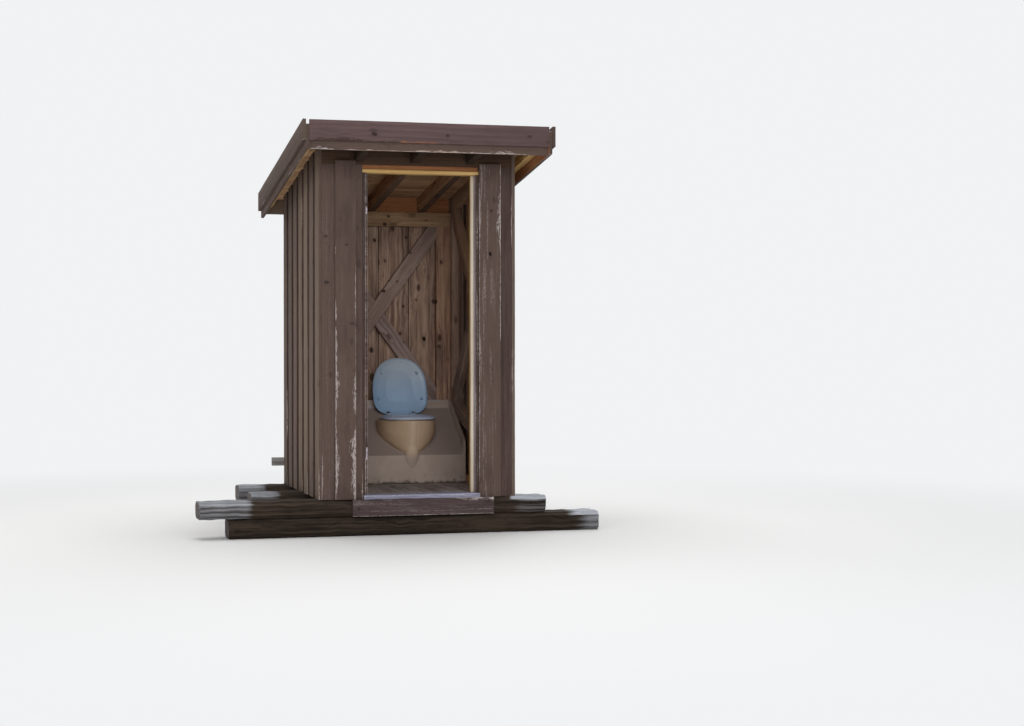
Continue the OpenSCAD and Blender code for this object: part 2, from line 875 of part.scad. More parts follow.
module hinge_pins() {
    pin_l = 3 * lug_pitch + lug_gap;
    color([0.75, 0.78, 0.80]) at_unit() for (s = [-1, 1])
        translate([s * lug_xs[1] - pin_l / 2, hinge_y, hinge_over_floor])
            rotate([0, 90, 0]) cylinder(r = pin_r, h = pin_l, $fn = 48);
}

// Lug in the hinge's own frame, with an arm forward to its plate
module lug(x, z0, z1, reach) {
    translate([x - lug_w / 2, 0, 0]) difference() {
        union() {
            rotate([0, 90, 0]) cylinder(r = lug_r - lug_gap, h = lug_w, $fn = 48);
            translate([0, -reach, z0]) cube([lug_w, reach, z1 - z0]);
        }
        translate([-cut, 0, 0]) rotate([0, 90, 0]) cylinder(r = bore_r, h = lug_w + 2 * cut, $fn = 48);
    }
}

seat_z0 = seat_crest - seat_h;
seat_front = -plate_back - seat_l;
// Inset and height of the seat's edge, as shares of its thickness
seat_edge = [[0.15, 0], [0, 0.19], [0.08, 0.46], [0.54, 0.81], [1.31, 1]];

function seat_ring(inset, z) =
    at_z(egg(seat_w / 2 - inset, seat_front + inset, -plate_back - inset,
        -plate_back - seat_l * 0.42), z);

function hole_ring(grow, z) =
    let (yf = seat_front + seat_front_w)
    at_z(egg(hole_w / 2 + grow, yf - grow, yf + hole_l + grow, yf + hole_l * 0.55, 0.9, 0.9), z);

// Height over the seat's underside, as a share of its thickness
function seat_at(share) = seat_z0 + share * seat_h;
arm_z0 = seat_at(0.31);

// Moulded ring, hollow under its crown
module seat_body() {
    outer_in = seat_edge[0][0] * seat_h + seat_t;
    hole_in = 0.23 * seat_h;
    difference() {
        loft([for (p = seat_edge) seat_ring(p[0] * seat_h, seat_at(p[1]))]);
        loft([hole_ring(hole_in, seat_z0 - cut), hole_ring(0, seat_at(0.31)),
            hole_ring(hole_in, seat_at(0.77)), hole_ring(0.62 * seat_h, seat_at(1) + cut)]);
        difference() {
            loft([seat_ring(outer_in, seat_z0 - cut), seat_ring(outer_in, seat_at(0.38)),
                seat_ring(1.38 * seat_h, seat_at(1) - seat_t)]);
            loft([hole_ring(hole_in + seat_t, seat_z0 - 2 * cut),
                hole_ring(hole_in + seat_t, seat_at(0.46)), hole_ring(0.77 * seat_h, seat_at(1))]);
        }
    }
}

module toilet_seat() {
    buffers = [[seat_w * 0.42, seat_l * 0.232], [seat_w * 0.347, seat_l * 0.754]];
    color([0.78, 0.83, 0.88]) at_unit() translate([0, hinge_y, hinge_over_floor]) {
        seat_body();
        for (s = [-1, 1]) {
            lug(s * lug_xs[2], arm_z0, seat_at(0.77), plate_back + 2 * lug_w);
            for (b = buffers) translate([s * b[0], -plate_back - b[1], seat_z0 - seat_gap + buffer_gap])
                cylinder(r = buffer_r, h = seat_gap - buffer_gap + seat_h * 0.73, $fn = 24);
        }
    }
}

lid_z0 = seat_crest + lid_gap;
lid_z1 = lid_z0 + lid_edge;

function lid_ring(inset, z) =
    at_z(egg(lid_w / 2 - inset, lid_rear - lid_l + inset, lid_rear - inset,
        lid_rear - lid_l * 0.4, 0.84, 0.62), z);

lid_under = lid_z1 - lid_t;

// Domed shell with a turned-down rim, in the closed pose
module lid_body() {
    difference() {
        loft([lid_ring(0, lid_z0), lid_ring(0, lid_z1 - lid_edge * 0.4), lid_ring(lid_edge * 0.4, lid_z1),
            lid_ring(lid_w * 0.08, lid_z1 + lid_crown * 0.55), lid_ring(lid_w * 0.24, lid_z1 + lid_crown)]);
        loft([lid_ring(lid_t, lid_z0 - cut), lid_ring(lid_t * 1.4, lid_under),
            lid_ring(lid_w * 0.085, lid_under + lid_crown * 0.5),
            lid_ring(lid_w * 0.245, lid_under + lid_crown * 0.95)]);
        // The rear rim is cut back round the hinges
        for (s = [-1, 1]) translate([s * lug_x - 2 * lug_w, -2 * lug_r, lid_z0 - cut])
            cube([4 * lug_w, 3 * lug_r, lid_under - lid_z0 + cut]);
        // Slots let the seat's arms stand through the closed lid
        for (s = [-1, 1]) translate([s * lug_xs[2] - lug_w / 2 - arm_gap, arm_z0 - arm_gap, lid_z0 - cut])
            cube([lug_w + 2 * arm_gap, arm_gap - arm_z0 + lid_rear + cut, lid_edge + lid_crown + 2 * cut]);
    }
}

// Lug from the hinge axis up to the lid's underside
module lid_lug(x) {
    r = lug_r - lug_gap;
    translate([x - lug_w / 2, 0, 0]) difference() {
        union() {
            rotate([0, 90, 0]) cylinder(r = r, h = lug_w, $fn = 48);
            translate([0, -2 * r, 0]) cube([lug_w, 2 * r, lid_under + lid_crown * 0.3]);
        }
        translate([-cut, 0, 0]) rotate([0, 90, 0]) cylinder(r = bore_r, h = lug_w + 2 * cut, $fn = 48);
    }
}

module toilet_lid() {
    buffers = [[lid_w * 0.395, lid_l * 0.29], [lid_w * 0.326, lid_l * 0.74]];
    buffer_z = seat_crest + buffer_gap;
    color([0.48, 0.57, 0.68]) at_unit() translate([0, hinge_y, hinge_over_floor])
        rotate([-lid_open, 0, 0]) {
            lid_body();
            for (s = [-1, 1]) {
                lid_lug(s * lug_xs[0]);
                for (b = buffers) translate([s * b[0], lid_rear - b[1], buffer_z])
                    cylinder(r = buffer_r, h = lid_under - buffer_z + lid_crown * 0.75, $fn = 24);
            }
        }
}

front_bearer();
middle_bearer();
rear_bearer();
front_sill();
middle_sill();
rear_sill();
floor_boards();
threshold();
kick_board();
front_under_boards();
front_over_boards();
front_frieze();
left_under_boards();
left_over_boards();
right_under_boards();
right_over_boards();
rear_under_boards();
rear_over_boards();
rear_frieze();
door_posts();
rear_posts();
left_posts();
right_posts();
front_top_rail();
rear_top_rail();
left_top_rail();
right_top_rail();
rear_bottom_rail();
left_bottom_rail();
right_bottom_rail();
rear_braces();
left_braces();
right_braces();
left_jamb();
right_jamb();
head_jamb();
hinge_leaves();
rafters();
verge_battens();
roof_boards();
roof_felt();
front_fascia_upper();
front_fascia_lower();
rear_fascia();
left_barge_upper();
left_barge_lower();
right_barge_upper();
right_barge_lower();
rear_rail();
toilet_unit();
hinge_pins();
toilet_seat();
toilet_lid();
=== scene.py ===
import json
import math
import random

import bmesh
import bpy
from mathutils import Euler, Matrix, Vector, noise

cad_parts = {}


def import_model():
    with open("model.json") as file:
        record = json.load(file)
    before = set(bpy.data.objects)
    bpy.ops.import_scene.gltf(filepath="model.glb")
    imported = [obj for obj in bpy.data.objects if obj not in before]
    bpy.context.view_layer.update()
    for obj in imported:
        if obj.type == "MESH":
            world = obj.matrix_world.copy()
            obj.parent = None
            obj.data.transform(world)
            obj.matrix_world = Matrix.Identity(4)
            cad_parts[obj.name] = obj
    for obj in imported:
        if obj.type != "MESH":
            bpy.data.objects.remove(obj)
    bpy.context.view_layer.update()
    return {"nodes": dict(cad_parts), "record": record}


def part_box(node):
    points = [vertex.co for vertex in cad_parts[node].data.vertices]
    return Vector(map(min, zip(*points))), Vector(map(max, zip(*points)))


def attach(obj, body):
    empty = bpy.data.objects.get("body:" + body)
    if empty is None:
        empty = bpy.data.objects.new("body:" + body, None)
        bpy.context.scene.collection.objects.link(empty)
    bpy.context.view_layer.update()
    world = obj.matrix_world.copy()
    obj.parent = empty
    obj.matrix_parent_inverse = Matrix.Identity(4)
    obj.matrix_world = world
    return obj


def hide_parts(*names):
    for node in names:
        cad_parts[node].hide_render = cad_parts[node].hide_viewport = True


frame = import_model()
NODES = frame["nodes"]
SLOTS = {row["node"]: row["material_slot"] for row in frame["record"]["subparts"]}
scene = bpy.context.scene

# the ripple in the boards is the same in every run
NOISE_SEED = 5
noise.seed_set(NOISE_SEED)

# places taken from the frame, in metres
WALL_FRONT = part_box("front_under_boards")[0][1]
REAR_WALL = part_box("rear_under_boards")[0][1]
FLOOR_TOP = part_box("floor_boards")[1][2]
SEAT_LOW, SEAT_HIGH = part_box("toilet_seat")
MID_X = (SEAT_LOW[0] + SEAT_HIGH[0]) / 2

# limits in y: outside the front wall, the outer strip of jamb and threshold, the jamb's stop
OUTSIDE = WALL_FRONT + 0.005
OUTER_EDGE = WALL_FRONT + 0.01
STOP_FRONT = WALL_FRONT + 0.045

# the unit's front face, which its box doesn't give because the bowl stands out of it
UNIT_FRONT = 0.197

# camera, solved from the hut's edges in the photograph
LENS_MM = 65.04
SENSOR_MM = 36.0
CAMERA_AT = (-2.502, -11.859, 1.159)
CAMERA_TURN_DEG = (89.49, 0.03, -15.55)
PHOTO_WIDTH = 1024
PHOTO_MIDDLE = (512, 363)


def add_camera():
    data = bpy.data.cameras.new("camera")
    data.lens = LENS_MM
    data.sensor_width = SENSOR_MM
    data.clip_end = 200.0
    ob = bpy.data.objects.new("camera", data)
    ob.location = CAMERA_AT
    ob.rotation_euler = tuple(math.radians(a) for a in CAMERA_TURN_DEG)
    scene.collection.objects.link(ob)
    scene.camera = ob


add_camera()


def seen_at(px, py, y):
    """x and z of what the photograph shows at a pixel, on the upright plane at y."""
    reach = LENS_MM / SENSOR_MM * PHOTO_WIDTH
    ray = Vector(((px - PHOTO_MIDDLE[0]) / reach, (PHOTO_MIDDLE[1] - py) / reach, -1.0))
    ray.rotate(Euler([math.radians(a) for a in CAMERA_TURN_DEG]))
    at = Vector(CAMERA_AT) + ray * ((y - CAMERA_AT[1]) / ray.y)
    return at.x, at.z


# node helpers
class Mat:
    """A material's node tree, with short calls for the nodes used here."""

    def __init__(self, name):
        self.mat = bpy.data.materials.new(name)
        self.mat.use_nodes = True
        self.nt = self.mat.node_tree
        self.nt.nodes.clear()
        self.out = self.nt.nodes.new("ShaderNodeOutputMaterial")
        self.bsdf = self.nt.nodes.new("ShaderNodeBsdfPrincipled")
        self.nt.links.new(self.bsdf.outputs[0], self.out.inputs[0])

    def put(self, socket, value):
        if isinstance(value, bpy.types.NodeSocket):
            self.nt.links.new(value, socket)
        elif socket.type == "RGBA":
            socket.default_value = (*value[:3], 1.0)
        else:
            socket.default_value = value

    def node(self, kind, **settings):
        n = self.nt.nodes.new(kind)
        for k, v in settings.items():
            setattr(n, k, v)
        return n

    def split(self, vector):
        s = self.node("ShaderNodeSeparateXYZ")
        self.put(s.inputs[0], vector)
        return s.outputs[0], s.outputs[1], s.outputs[2]

    def uv(self, name):
        return self.split(self.node("ShaderNodeUVMap", uv_map=name).outputs[0])[:2]

    def obj(self):
        return self.split(self.node("ShaderNodeTexCoord").outputs["Object"])

    def vec(self, x, y, z=0.0):
        n = self.node("ShaderNodeCombineXYZ")
        for s, v in zip(n.inputs, (x, y, z)):
            self.put(s, v)
        return n.outputs[0]

    def math(self, op, a, b=0.0):
        n = self.node("ShaderNodeMath", operation=op)
        for s, v in zip(n.inputs, (a, b)):
            self.put(s, v)
        return n.outputs[0]

    def mul(self, a, b):
        return self.math("MULTIPLY", a, b)

    def add(self, a, b):
        return self.math("ADD", a, b)

    def sub(self, a, b):
        return self.math("SUBTRACT", a, b)

    def step(self, value, low, high, to0=0.0, to1=1.0, smooth=True):
        """Turns low..high into to0..to1 and holds it past both ends."""
        n = self.node("ShaderNodeMapRange", interpolation_type="SMOOTHSTEP" if smooth else "LINEAR")
        n.clamp = True
        for s, v in zip(n.inputs[:5], (value, low, high, to0, to1)):
            self.put(s, v)
        return n.outputs[0]

    def noise(self, vector, scale=1.0, detail=4.0, rough=0.55):
        n = self.node("ShaderNodeTexNoise")
        self.put(n.inputs["Vector"], vector)
        for k, v in (("Scale", scale), ("Detail", detail), ("Roughness", rough)):
            self.put(n.inputs[k], v)
        return n.outputs[0]

    def cells(self, vector):
        n = self.node("ShaderNodeTexVoronoi", feature="F1")
        self.put(n.inputs["Vector"], vector)
        self.put(n.inputs["Scale"], 1.0)
        return n.outputs[0]

    def mix(self, fac, a, b, blend="MIX"):
        n = self.node("ShaderNodeMix", data_type="RGBA", blend_type=blend)
        self.put(n.inputs[0], fac)
        self.put(n.inputs[6], a)
        self.put(n.inputs[7], b)
        return n.outputs[2]

    def bump(self, height, strength, distance):
        n = self.node("ShaderNodeBump")
        n.inputs["Strength"].default_value = strength
        n.inputs["Distance"].default_value = distance
        self.put(n.inputs["Height"], height)
        return n.outputs[0]

    def done(self, colour, rough, normal):
        self.put(self.bsdf.inputs["Base Color"], colour)
        self.put(self.bsdf.inputs["Roughness"], rough)
        self.put(self.bsdf.inputs["Normal"], normal)
        return self.mat


def lin(r, g, b):
    """sRGB 0..255 to linear."""
    return tuple((c / 255 / 12.92) if c / 255 <= 0.04045 else ((c / 255 + 0.055) / 1.055) ** 2.4
                 for c in (r, g, b))


def scaled(colour, factor):
    return tuple(c * factor for c in colour)


# wood
class Grain:
    """Where a point lies on its board, from the UV maps that board() writes: 'grain' is metres along
    and across the face, 'dim' the face's length and width, 'seed' two numbers per board, 'kind' the
    end-grain flag and how spotted the face is, 'wear' how far the paint is gone from the low and the
    high edge, 'tone' how tan the bare wood and how bleached the timber is."""

    def __init__(self, m):
        self.m = m
        self.u, self.v = m.uv("grain")
        self.width = m.uv("dim")[1]
        self.seed_a, self.seed_b = m.uv("seed")
        self.is_end, self.spots = m.uv("kind")
        self.wear_low, self.wear_high = m.uv("wear")
        self.tint, self.pale = m.uv("tone")
        self.own = m.mul(self.seed_a, 37.0)

    def noise(self, across, per_m_along, per_m_across, shift, detail, rough=0.55):
        m = self.m
        place = m.vec(m.mul(self.u, per_m_along), m.mul(across, per_m_across), m.add(self.own, shift))
        return m.noise(place, 1.0, detail, rough)


def knot_mark(m, col, height, mark, dark):
    """Dark knot with rings round it, at a place seen in the photograph."""
    x0, z0, rx, rz, strength = mark
    x, _, z = m.obj()
    dx = m.mul(m.sub(m.add(x, m.mul(m.sub(z, z0), 0.12)), x0), 1 / rx)
    dz = m.mul(m.sub(z, z0), 1 / rz)
    r = m.math("SQRT", m.add(m.mul(dx, dx), m.mul(dz, dz)))
    wobble = m.noise(m.vec(m.mul(x, 60.0), m.mul(z, 40.0), 3.0), 1.0, 2.0)
    r = m.add(r, m.mul(m.sub(wobble, 0.5), 0.7))
    core = m.mul(m.step(r, 1.05, 0.7), strength)
    halo = m.mul(m.step(r, 3.2, 1.0), m.step(m.math("SINE", m.mul(r, 7.0)), -0.4, 0.9))
    col = m.mix(m.mul(halo, 0.4 * strength), col, dark)
    col = m.mix(core, col, scaled(dark, 0.22))
    return col, m.sub(height, m.mul(core, 1.5))


def paint_gone(m, g):
    """Mask of bare wood: ragged along the edges, with specks and streaks where a face is spotted."""
    jag = m.step(g.noise(g.v, 26.0, 170.0, 31.0, 8.0, 0.72), 0.36, 0.66, 0.05, 1.5)
    sides = []
    for edge, reach in ((g.v, g.wear_low), (m.sub(g.width, g.v), g.wear_high)):
        near = m.step(m.sub(edge, m.mul(reach, jag)), 0.0012, -0.0008)
        sides.append(m.mul(near, m.step(reach, 0.0006, 0.002)))
    worn = m.math("MAXIMUM", *sides)
    island = g.noise(g.v, 55.0, 240.0, 41.0, 4.0, 0.6)
    worn = m.mul(worn, m.sub(1.0, m.mul(m.step(island, 0.52, 0.60), 0.9)))
    speck = m.step(g.noise(g.v, 42.0, 150.0, 51.0, 5.0, 0.7),
                   m.sub(0.80, m.mul(g.spots, 0.2)), m.sub(0.83, m.mul(g.spots, 0.2)))
    speck = m.mul(speck, m.step(g.spots, 0.02, 0.1))
    streak = m.mul(m.step(g.noise(g.v, 2.6, 60.0, 61.0, 3.0, 0.6), 0.5, 0.66), m.step(island, 0.42, 0.58))
    streak = m.mul(streak, m.mul(g.spots, 0.75))
    worn = m.math("MAXIMUM", worn, m.math("MAXIMUM", m.mul(speck, 0.9), streak))
    return m.mul(worn, m.sub(1.0, g.is_end))


def end_grain(m, g, end):
    rings = m.node("ShaderNodeTexWave", wave_type="RINGS", rings_direction="Z")
    m.put(rings.inputs["Vector"], m.vec(m.sub(g.u, m.mul(g.seed_a, 0.1)), m.add(g.v, 0.05), 0.0))
    rings.inputs["Scale"].default_value = 45.0
    rings.inputs["Distortion"].default_value = 2.0
    return m.mix(rings.outputs[1], scaled(end, 0.7), end)


def wood(name, main, dark, light, end, wear=None, tan=None, knot=0.5, crack=0.5, rough=0.85, grain=1.0,
         patch=0.25, marks=(), warm=None, bleach=None, contrast=0.5):
    """Sawn board in three tones of one colour. wear and tan are the bare wood under the paint, warm a
    second colour that some boards turn to, bleach the colour of weathered ends, marks the knots seen in
    the photograph. knot, crack, grain, patch and contrast are strengths."""
    m = Mat(name)
    g = Grain(m)
    # knots are stretched cells, and the grain bends round them
    wander = g.noise(g.v, 1.6, 3.0, 0.0, 2.0)
    across = m.add(g.v, m.mul(m.sub(wander, 0.5), 0.03))
    cell = m.cells(m.vec(m.mul(g.u, 4.3), m.mul(across, 8.5), g.own))
    knot_size = m.add(0.07, m.mul(g.noise(g.v, 4.0, 9.0, 71.0, 1.0), 0.1))
    knot_mask = m.mul(m.step(m.sub(cell, knot_size), 0.015, -0.025), knot)
    bent = m.add(across, m.mul(m.step(cell, 0.42, 0.05), 0.02))
    # grain, clouds and blotches
    fine = g.noise(bent, 7.0, 330.0, 0.0, 5.0, 0.6)
    band = g.noise(bent, 1.4, 60.0, 5.0, 3.0, 0.5)
    cloud = g.noise(g.v, 2.2, 7.0, 11.0, 4.0, 0.6)
    blotch = g.noise(g.v, 9.0, 24.0, 17.0, 4.0, 0.65)
    tone = m.add(m.mul(band, 0.55), m.mul(fine, 0.45))
    col = m.mix(m.step(tone, 0.36, 0.66), dark, light)
    col = m.mix(1.0 - contrast, col, main)
    if warm is not None:
        col = m.mix(m.step(m.add(m.mul(g.seed_b, 0.7), m.mul(cloud, 0.6)), 0.45, 0.95), col, warm)
    col = m.mix(m.mul(m.step(cloud, 0.45, 0.72), patch), col, light)
    col = m.mix(m.mul(m.step(cloud, 0.5, 0.28), patch), col, dark)
    col = m.mix(m.mul(m.step(blotch, 0.42, 0.25), patch * 1.2), col, dark)
    shade = m.step(g.seed_b, 0.0, 1.0, 0.88, 1.12, smooth=False)
    col = m.mix(1.0, col, m.vec(shade, shade, shade), "MULTIPLY")
    rings = m.mul(m.step(m.math("SINE", m.mul(cell, 60.0)), -0.2, 0.9), knot)
    col = m.mix(m.mul(m.mul(m.step(cell, 0.34, 0.12), rings), 0.35), col, dark)
    col = m.mix(m.mul(knot_mask, 0.85), col, scaled(dark, 0.4))
    # long thin cracks
    line = m.step(m.math("ABSOLUTE", m.sub(g.noise(bent, 1.3, 95.0, 23.0, 2.0, 0.5), 0.5)), 0.012, 0.0)
    crack_mask = m.mul(m.mul(line, m.step(cloud, 0.45, 0.6)), crack)
    col = m.mix(m.mul(crack_mask, 0.75), col, scaled(dark, 0.3))
    height = m.add(m.mul(fine, 0.5 * grain), m.mul(band, 0.6 * grain))
    height = m.sub(height, m.mul(crack_mask, 1.5))
    if bleach is not None:
        weather = m.step(m.add(m.mul(g.pale, 1.1), m.mul(m.sub(band, 0.5), 0.35)), 0.22, 0.62)
        grey = m.mix(m.step(fine, 0.36, 0.60), scaled(bleach, 0.5), bleach)
        grey = m.mix(m.mul(m.step(blotch, 0.5, 0.3), 0.5), grey, scaled(bleach, 0.4))
        col = m.mix(weather, col, m.mix(m.mul(crack_mask, 0.55), grey, dark))
    for mark in marks:
        col, height = knot_mark(m, col, height, mark, dark)
    if wear is not None:
        worn = paint_gone(m, g)
        fibre = m.step(fine, 0.35, 0.68)
        bare = m.mix(fibre, scaled(wear, 0.66), wear)
        tans = m.step(m.add(g.tint, m.mul(m.sub(cloud, 0.5), 0.8)), 0.25, 0.7)
        bare = m.mix(tans, bare, m.mix(fibre, scaled(tan, 0.7), tan))
        col = m.mix(worn, col, bare)
        height = m.sub(height, worn)
    col = m.mix(g.is_end, col, end_grain(m, g, end))
    m.bsdf.inputs["Specular IOR Level"].default_value = 0.15
    roughness = m.step(cloud, 0.3, 0.7, rough - 0.08, rough + 0.06)
    return m.done(col, roughness, m.bump(height, 0.55, 0.0012))


# knots seen in the photograph: x and z of the middle, half width, half height, strength
FRONT_KNOTS = [
    (-0.348, 2.417, 0.020, 0.012, 0.75), (-0.352, 2.44, 0.03, 0.014, 0.3), (0.10, 2.42, 0.012, 0.009, 0.7),
    (0.455, 1.735, 0.009, 0.015, 1.0), (0.462, 2.005, 0.010, 0.008, 0.6), (-0.575, 1.83, 0.012, 0.008, 0.6),
    (-0.57, 1.55, 0.018, 0.011, 0.6), (-0.45, 1.78, 0.010, 0.007, 0.6), (-0.42, 1.30, 0.016, 0.010, 0.45),
    (-0.38, 0.17, 0.012, 0.011, 0.5), (0.61, 2.43, 0.016, 0.011, 0.5),
]

# the same inside: pixel column and row in the photograph, half width, half height, strength, and the
# upright plane in which that timber's face lies
POST_FACE = 0.645
BRACE_FACE = 0.61
RAIL_FACE = 0.64
REAR_SEEN = [
    (406.8, 237.3, 0.010, 0.013, 0.8), (424, 338.7, 0.014, 0.018, 1.0), (403.9, 306.2, 0.012, 0.014, 0.7),
    (375, 240, 0.012, 0.016, 0.9), (416, 300, 0.010, 0.012, 0.6), (372, 350, 0.016, 0.020, 0.9),
    (400.6, 333.6, 0.012, 0.016, 0.8),
]
POST_SEEN = [(441.2, 262.2, 0.012, 0.016, 0.7), (435.5, 301.4, 0.014, 0.018, 0.8)]
BRACE_SEEN = [
    (389.6, 279.4, 0.013, 0.012, 0.95), (384.8, 290.9, 0.014, 0.012, 0.9), (398.2, 281.3, 0.010, 0.010, 0.7),
    (411.6, 252.6, 0.012, 0.011, 0.6), (396, 257, 0.008, 0.008, 0.4),
]
RAIL_SEEN = [(384.8, 224, 0.016, 0.013, 0.9), (388.6, 216.3, 0.013, 0.010, 0.8)]


def knots_on(plane, seen):
    return [(*seen_at(px, py, plane), *rest) for px, py, *rest in seen]


REAR_KNOTS = knots_on(REAR_WALL, REAR_SEEN) + knots_on(POST_FACE, POST_SEEN)
REAR_KNOTS += [(0.45, 1.16, 0.014, 0.016, 0.6), (0.08, 1.75, 0.012, 0.015, 0.6)]
BRACE_KNOTS = knots_on(BRACE_FACE, BRACE_SEEN) + [(0.20, 1.19, 0.012, 0.010, 0.6)]
RAIL_KNOTS = knots_on(RAIL_FACE, RAIL_SEEN) + [(0.36, 2.03, 0.012, 0.009, 0.5)]

CHALK = lin(198, 186, 182)
TAN = lin(190, 158, 128)
PAINT = dict(wear=CHALK, tan=TAN)
WOODS = {
    "painted_wood": dict(
        main=lin(79, 63, 58), dark=lin(61, 48, 44), light=lin(98, 81, 75), knot=0.35, crack=0.5,
        end=lin(88, 74, 67), marks=FRONT_KNOTS, warm=lin(91, 75, 68), patch=0.4, **PAINT,
    ),
    "fascia_wood": dict(
        main=lin(92, 74, 74), dark=lin(74, 58, 57), light=lin(107, 88, 87), wear=lin(70, 53, 46),
        tan=lin(158, 106, 78), knot=0.35, crack=0.5, end=lin(88, 76, 68), marks=FRONT_KNOTS,
        patch=0.35,
    ),
    "side_wood": dict(
        main=lin(108, 92, 83), dark=lin(84, 70, 62), light=lin(130, 114, 102), knot=0.45, crack=0.6,
        end=lin(100, 86, 76), warm=lin(122, 106, 92), contrast=0.55, **PAINT,
    ),
    # under boards' paint, darkened as painted shade for their recessed place between the over boards
    "gap_paint_and_shade_wood": dict(
        main=lin(70, 57, 51), dark=lin(54, 43, 39), light=lin(86, 72, 65), knot=0.4, crack=0.5,
        end=lin(90, 78, 68), **PAINT,
    ),
    "eave_wood": dict(
        main=lin(76, 57, 44), dark=lin(62, 46, 36), light=lin(88, 68, 54), knot=0.4, crack=0.5,
        end=lin(80, 66, 54),
    ),
    # painted shade: rafter tails under the eave, darker than the eave wood so they sink into its shade
    "painted_shade_tail_wood": dict(
        main=lin(54, 42, 33), dark=lin(46, 35, 28), light=lin(62, 49, 39), knot=0.3, crack=0.3,
        end=lin(78, 62, 50),
    ),
    "grey_wood": dict(
        main=lin(150, 146, 142), dark=lin(110, 104, 100), light=lin(192, 190, 188), knot=0.3,
        crack=0.8, grain=1.6, end=lin(124, 114, 106), patch=0.5, contrast=0.8,
    ),
    "kick_wood": dict(
        main=lin(80, 66, 66), dark=lin(62, 49, 49), light=lin(97, 82, 81), knot=0.35, crack=0.6,
        end=lin(80, 68, 62), marks=FRONT_KNOTS, patch=0.45, **PAINT,
    ),
    "olive_wood": dict(
        main=lin(92, 77, 70), dark=lin(72, 59, 53), light=lin(110, 95, 86), knot=0.4, crack=0.5,
        end=lin(96, 84, 72), **PAINT,
    ),
    "raw_wood": dict(
        main=lin(162, 131, 116), dark=lin(98, 74, 62), light=lin(208, 178, 156),
        warm=lin(184, 122, 78), knot=1.0, crack=0.8, end=lin(140, 112, 84), patch=0.6, contrast=0.8,
        marks=REAR_KNOTS,
    ),
    "rail_wood": dict(
        main=lin(160, 130, 102), dark=lin(126, 98, 74), light=lin(192, 160, 126), knot=0.6, crack=0.8,
        end=lin(140, 112, 84), patch=0.5, contrast=0.7, marks=RAIL_KNOTS,
    ),
    "orange_wood": dict(
        main=lin(176, 116, 76), dark=lin(132, 84, 56), light=lin(200, 144, 98), knot=0.6, crack=0.5,
        end=lin(150, 112, 76), patch=0.4,
    ),
    "brace_wood": dict(
        main=lin(150, 128, 120), dark=lin(112, 93, 86), light=lin(180, 160, 154),
        warm=lin(150, 122, 104), knot=0.8, crack=0.8, end=lin(120, 100, 80), patch=0.5, contrast=0.7,
        marks=BRACE_KNOTS,
    ),
    "loft_wood": dict(
        main=lin(198, 156, 118), dark=lin(156, 118, 88), light=lin(222, 184, 142), knot=0.6, crack=0.5,
        end=lin(140, 110, 80), patch=0.5, contrast=0.8,
    ),
    "dim_wood": dict(
        main=lin(150, 126, 112), dark=lin(108, 88, 78), light=lin(184, 158, 142),
        warm=lin(164, 130, 102), knot=0.6, crack=0.6, end=lin(120, 100, 80), patch=0.5, contrast=0.8,
    ),
    "rafter_wood": dict(
        main=lin(112, 88, 74), dark=lin(88, 68, 58), light=lin(138, 110, 92), knot=0.6, crack=0.6,
        end=lin(120, 100, 80), patch=0.4,
    ),
    "pale_wood": dict(
        main=lin(206, 166, 104), dark=lin(176, 136, 82), light=lin(230, 196, 136), knot=0.3, crack=0.3,
        end=lin(186, 152, 100),
    ),
    "stop_wood": dict(
        main=lin(168, 134, 84), dark=lin(136, 104, 64), light=lin(196, 162, 108), knot=0.3, crack=0.3,
        end=lin(186, 152, 100),
    ),
    "cream_wood": dict(
        main=lin(216, 204, 184), dark=lin(180, 160, 134), light=lin(236, 228, 216), knot=0.2,
        crack=0.3, end=lin(190, 170, 130),
    ),
    "reveal_wood": dict(
        main=lin(150, 140, 142), dark=lin(112, 98, 98), light=lin(190, 184, 190), knot=0.2, crack=0.5,
        end=lin(150, 140, 130), patch=0.6, contrast=0.8, **PAINT,
    ),
    "base_wood": dict(
        main=lin(45, 36, 30), dark=lin(23, 18, 15), light=lin(70, 59, 49), bleach=lin(188, 192, 199),
        knot=0.4, crack=1.0, rough=0.92, grain=2.2, end=lin(112, 104, 100), patch=0.7, contrast=0.9,
    ),
    "floor_wood": dict(
        main=lin(150, 138, 134), dark=lin(108, 97, 93), light=lin(182, 172, 168), knot=0.5, crack=0.8,
        end=lin(110, 98, 86), patch=0.6, contrast=0.8,
    ),
    "threshold_wood": dict(
        main=lin(116, 107, 114), dark=lin(78, 68, 71), light=lin(156, 150, 164),
        wear=lin(190, 190, 206), tan=lin(160, 152, 158), bleach=lin(150, 150, 172), knot=0.3,
        crack=0.9, grain=1.6, end=lin(120, 116, 120), patch=0.8, contrast=0.9,
    ),
}
MATS = {name: wood(name, **look) for name, look in WOODS.items()}


def plain(name, base, second, rough, scale, bump=0.0003, metallic=0.0, fade=None):
    """Moulded or metal surface: soft mottling and fine bump. fade is a colour and the two heights
    between which the surface turns to it."""
    m = Mat(name)
    x, y, z = m.obj()
    p = m.vec(x, y, z)
    mottle = m.noise(p, scale, 5.0, 0.6)
    fine = m.noise(p, scale * 22, 3.0, 0.5)
    col = m.mix(m.step(mottle, 0.35, 0.7), base, second)
    if fade is not None:
        col = m.mix(m.step(z, fade[1], fade[2]), col, fade[0])
    roughness = m.step(mottle, 0.3, 0.7, rough - 0.05, rough + 0.07)
    m.bsdf.inputs["Metallic"].default_value = metallic
    return m.done(col, roughness, m.bump(m.add(m.mul(mottle, 0.4), m.mul(fine, 0.6)), 0.3, bump))


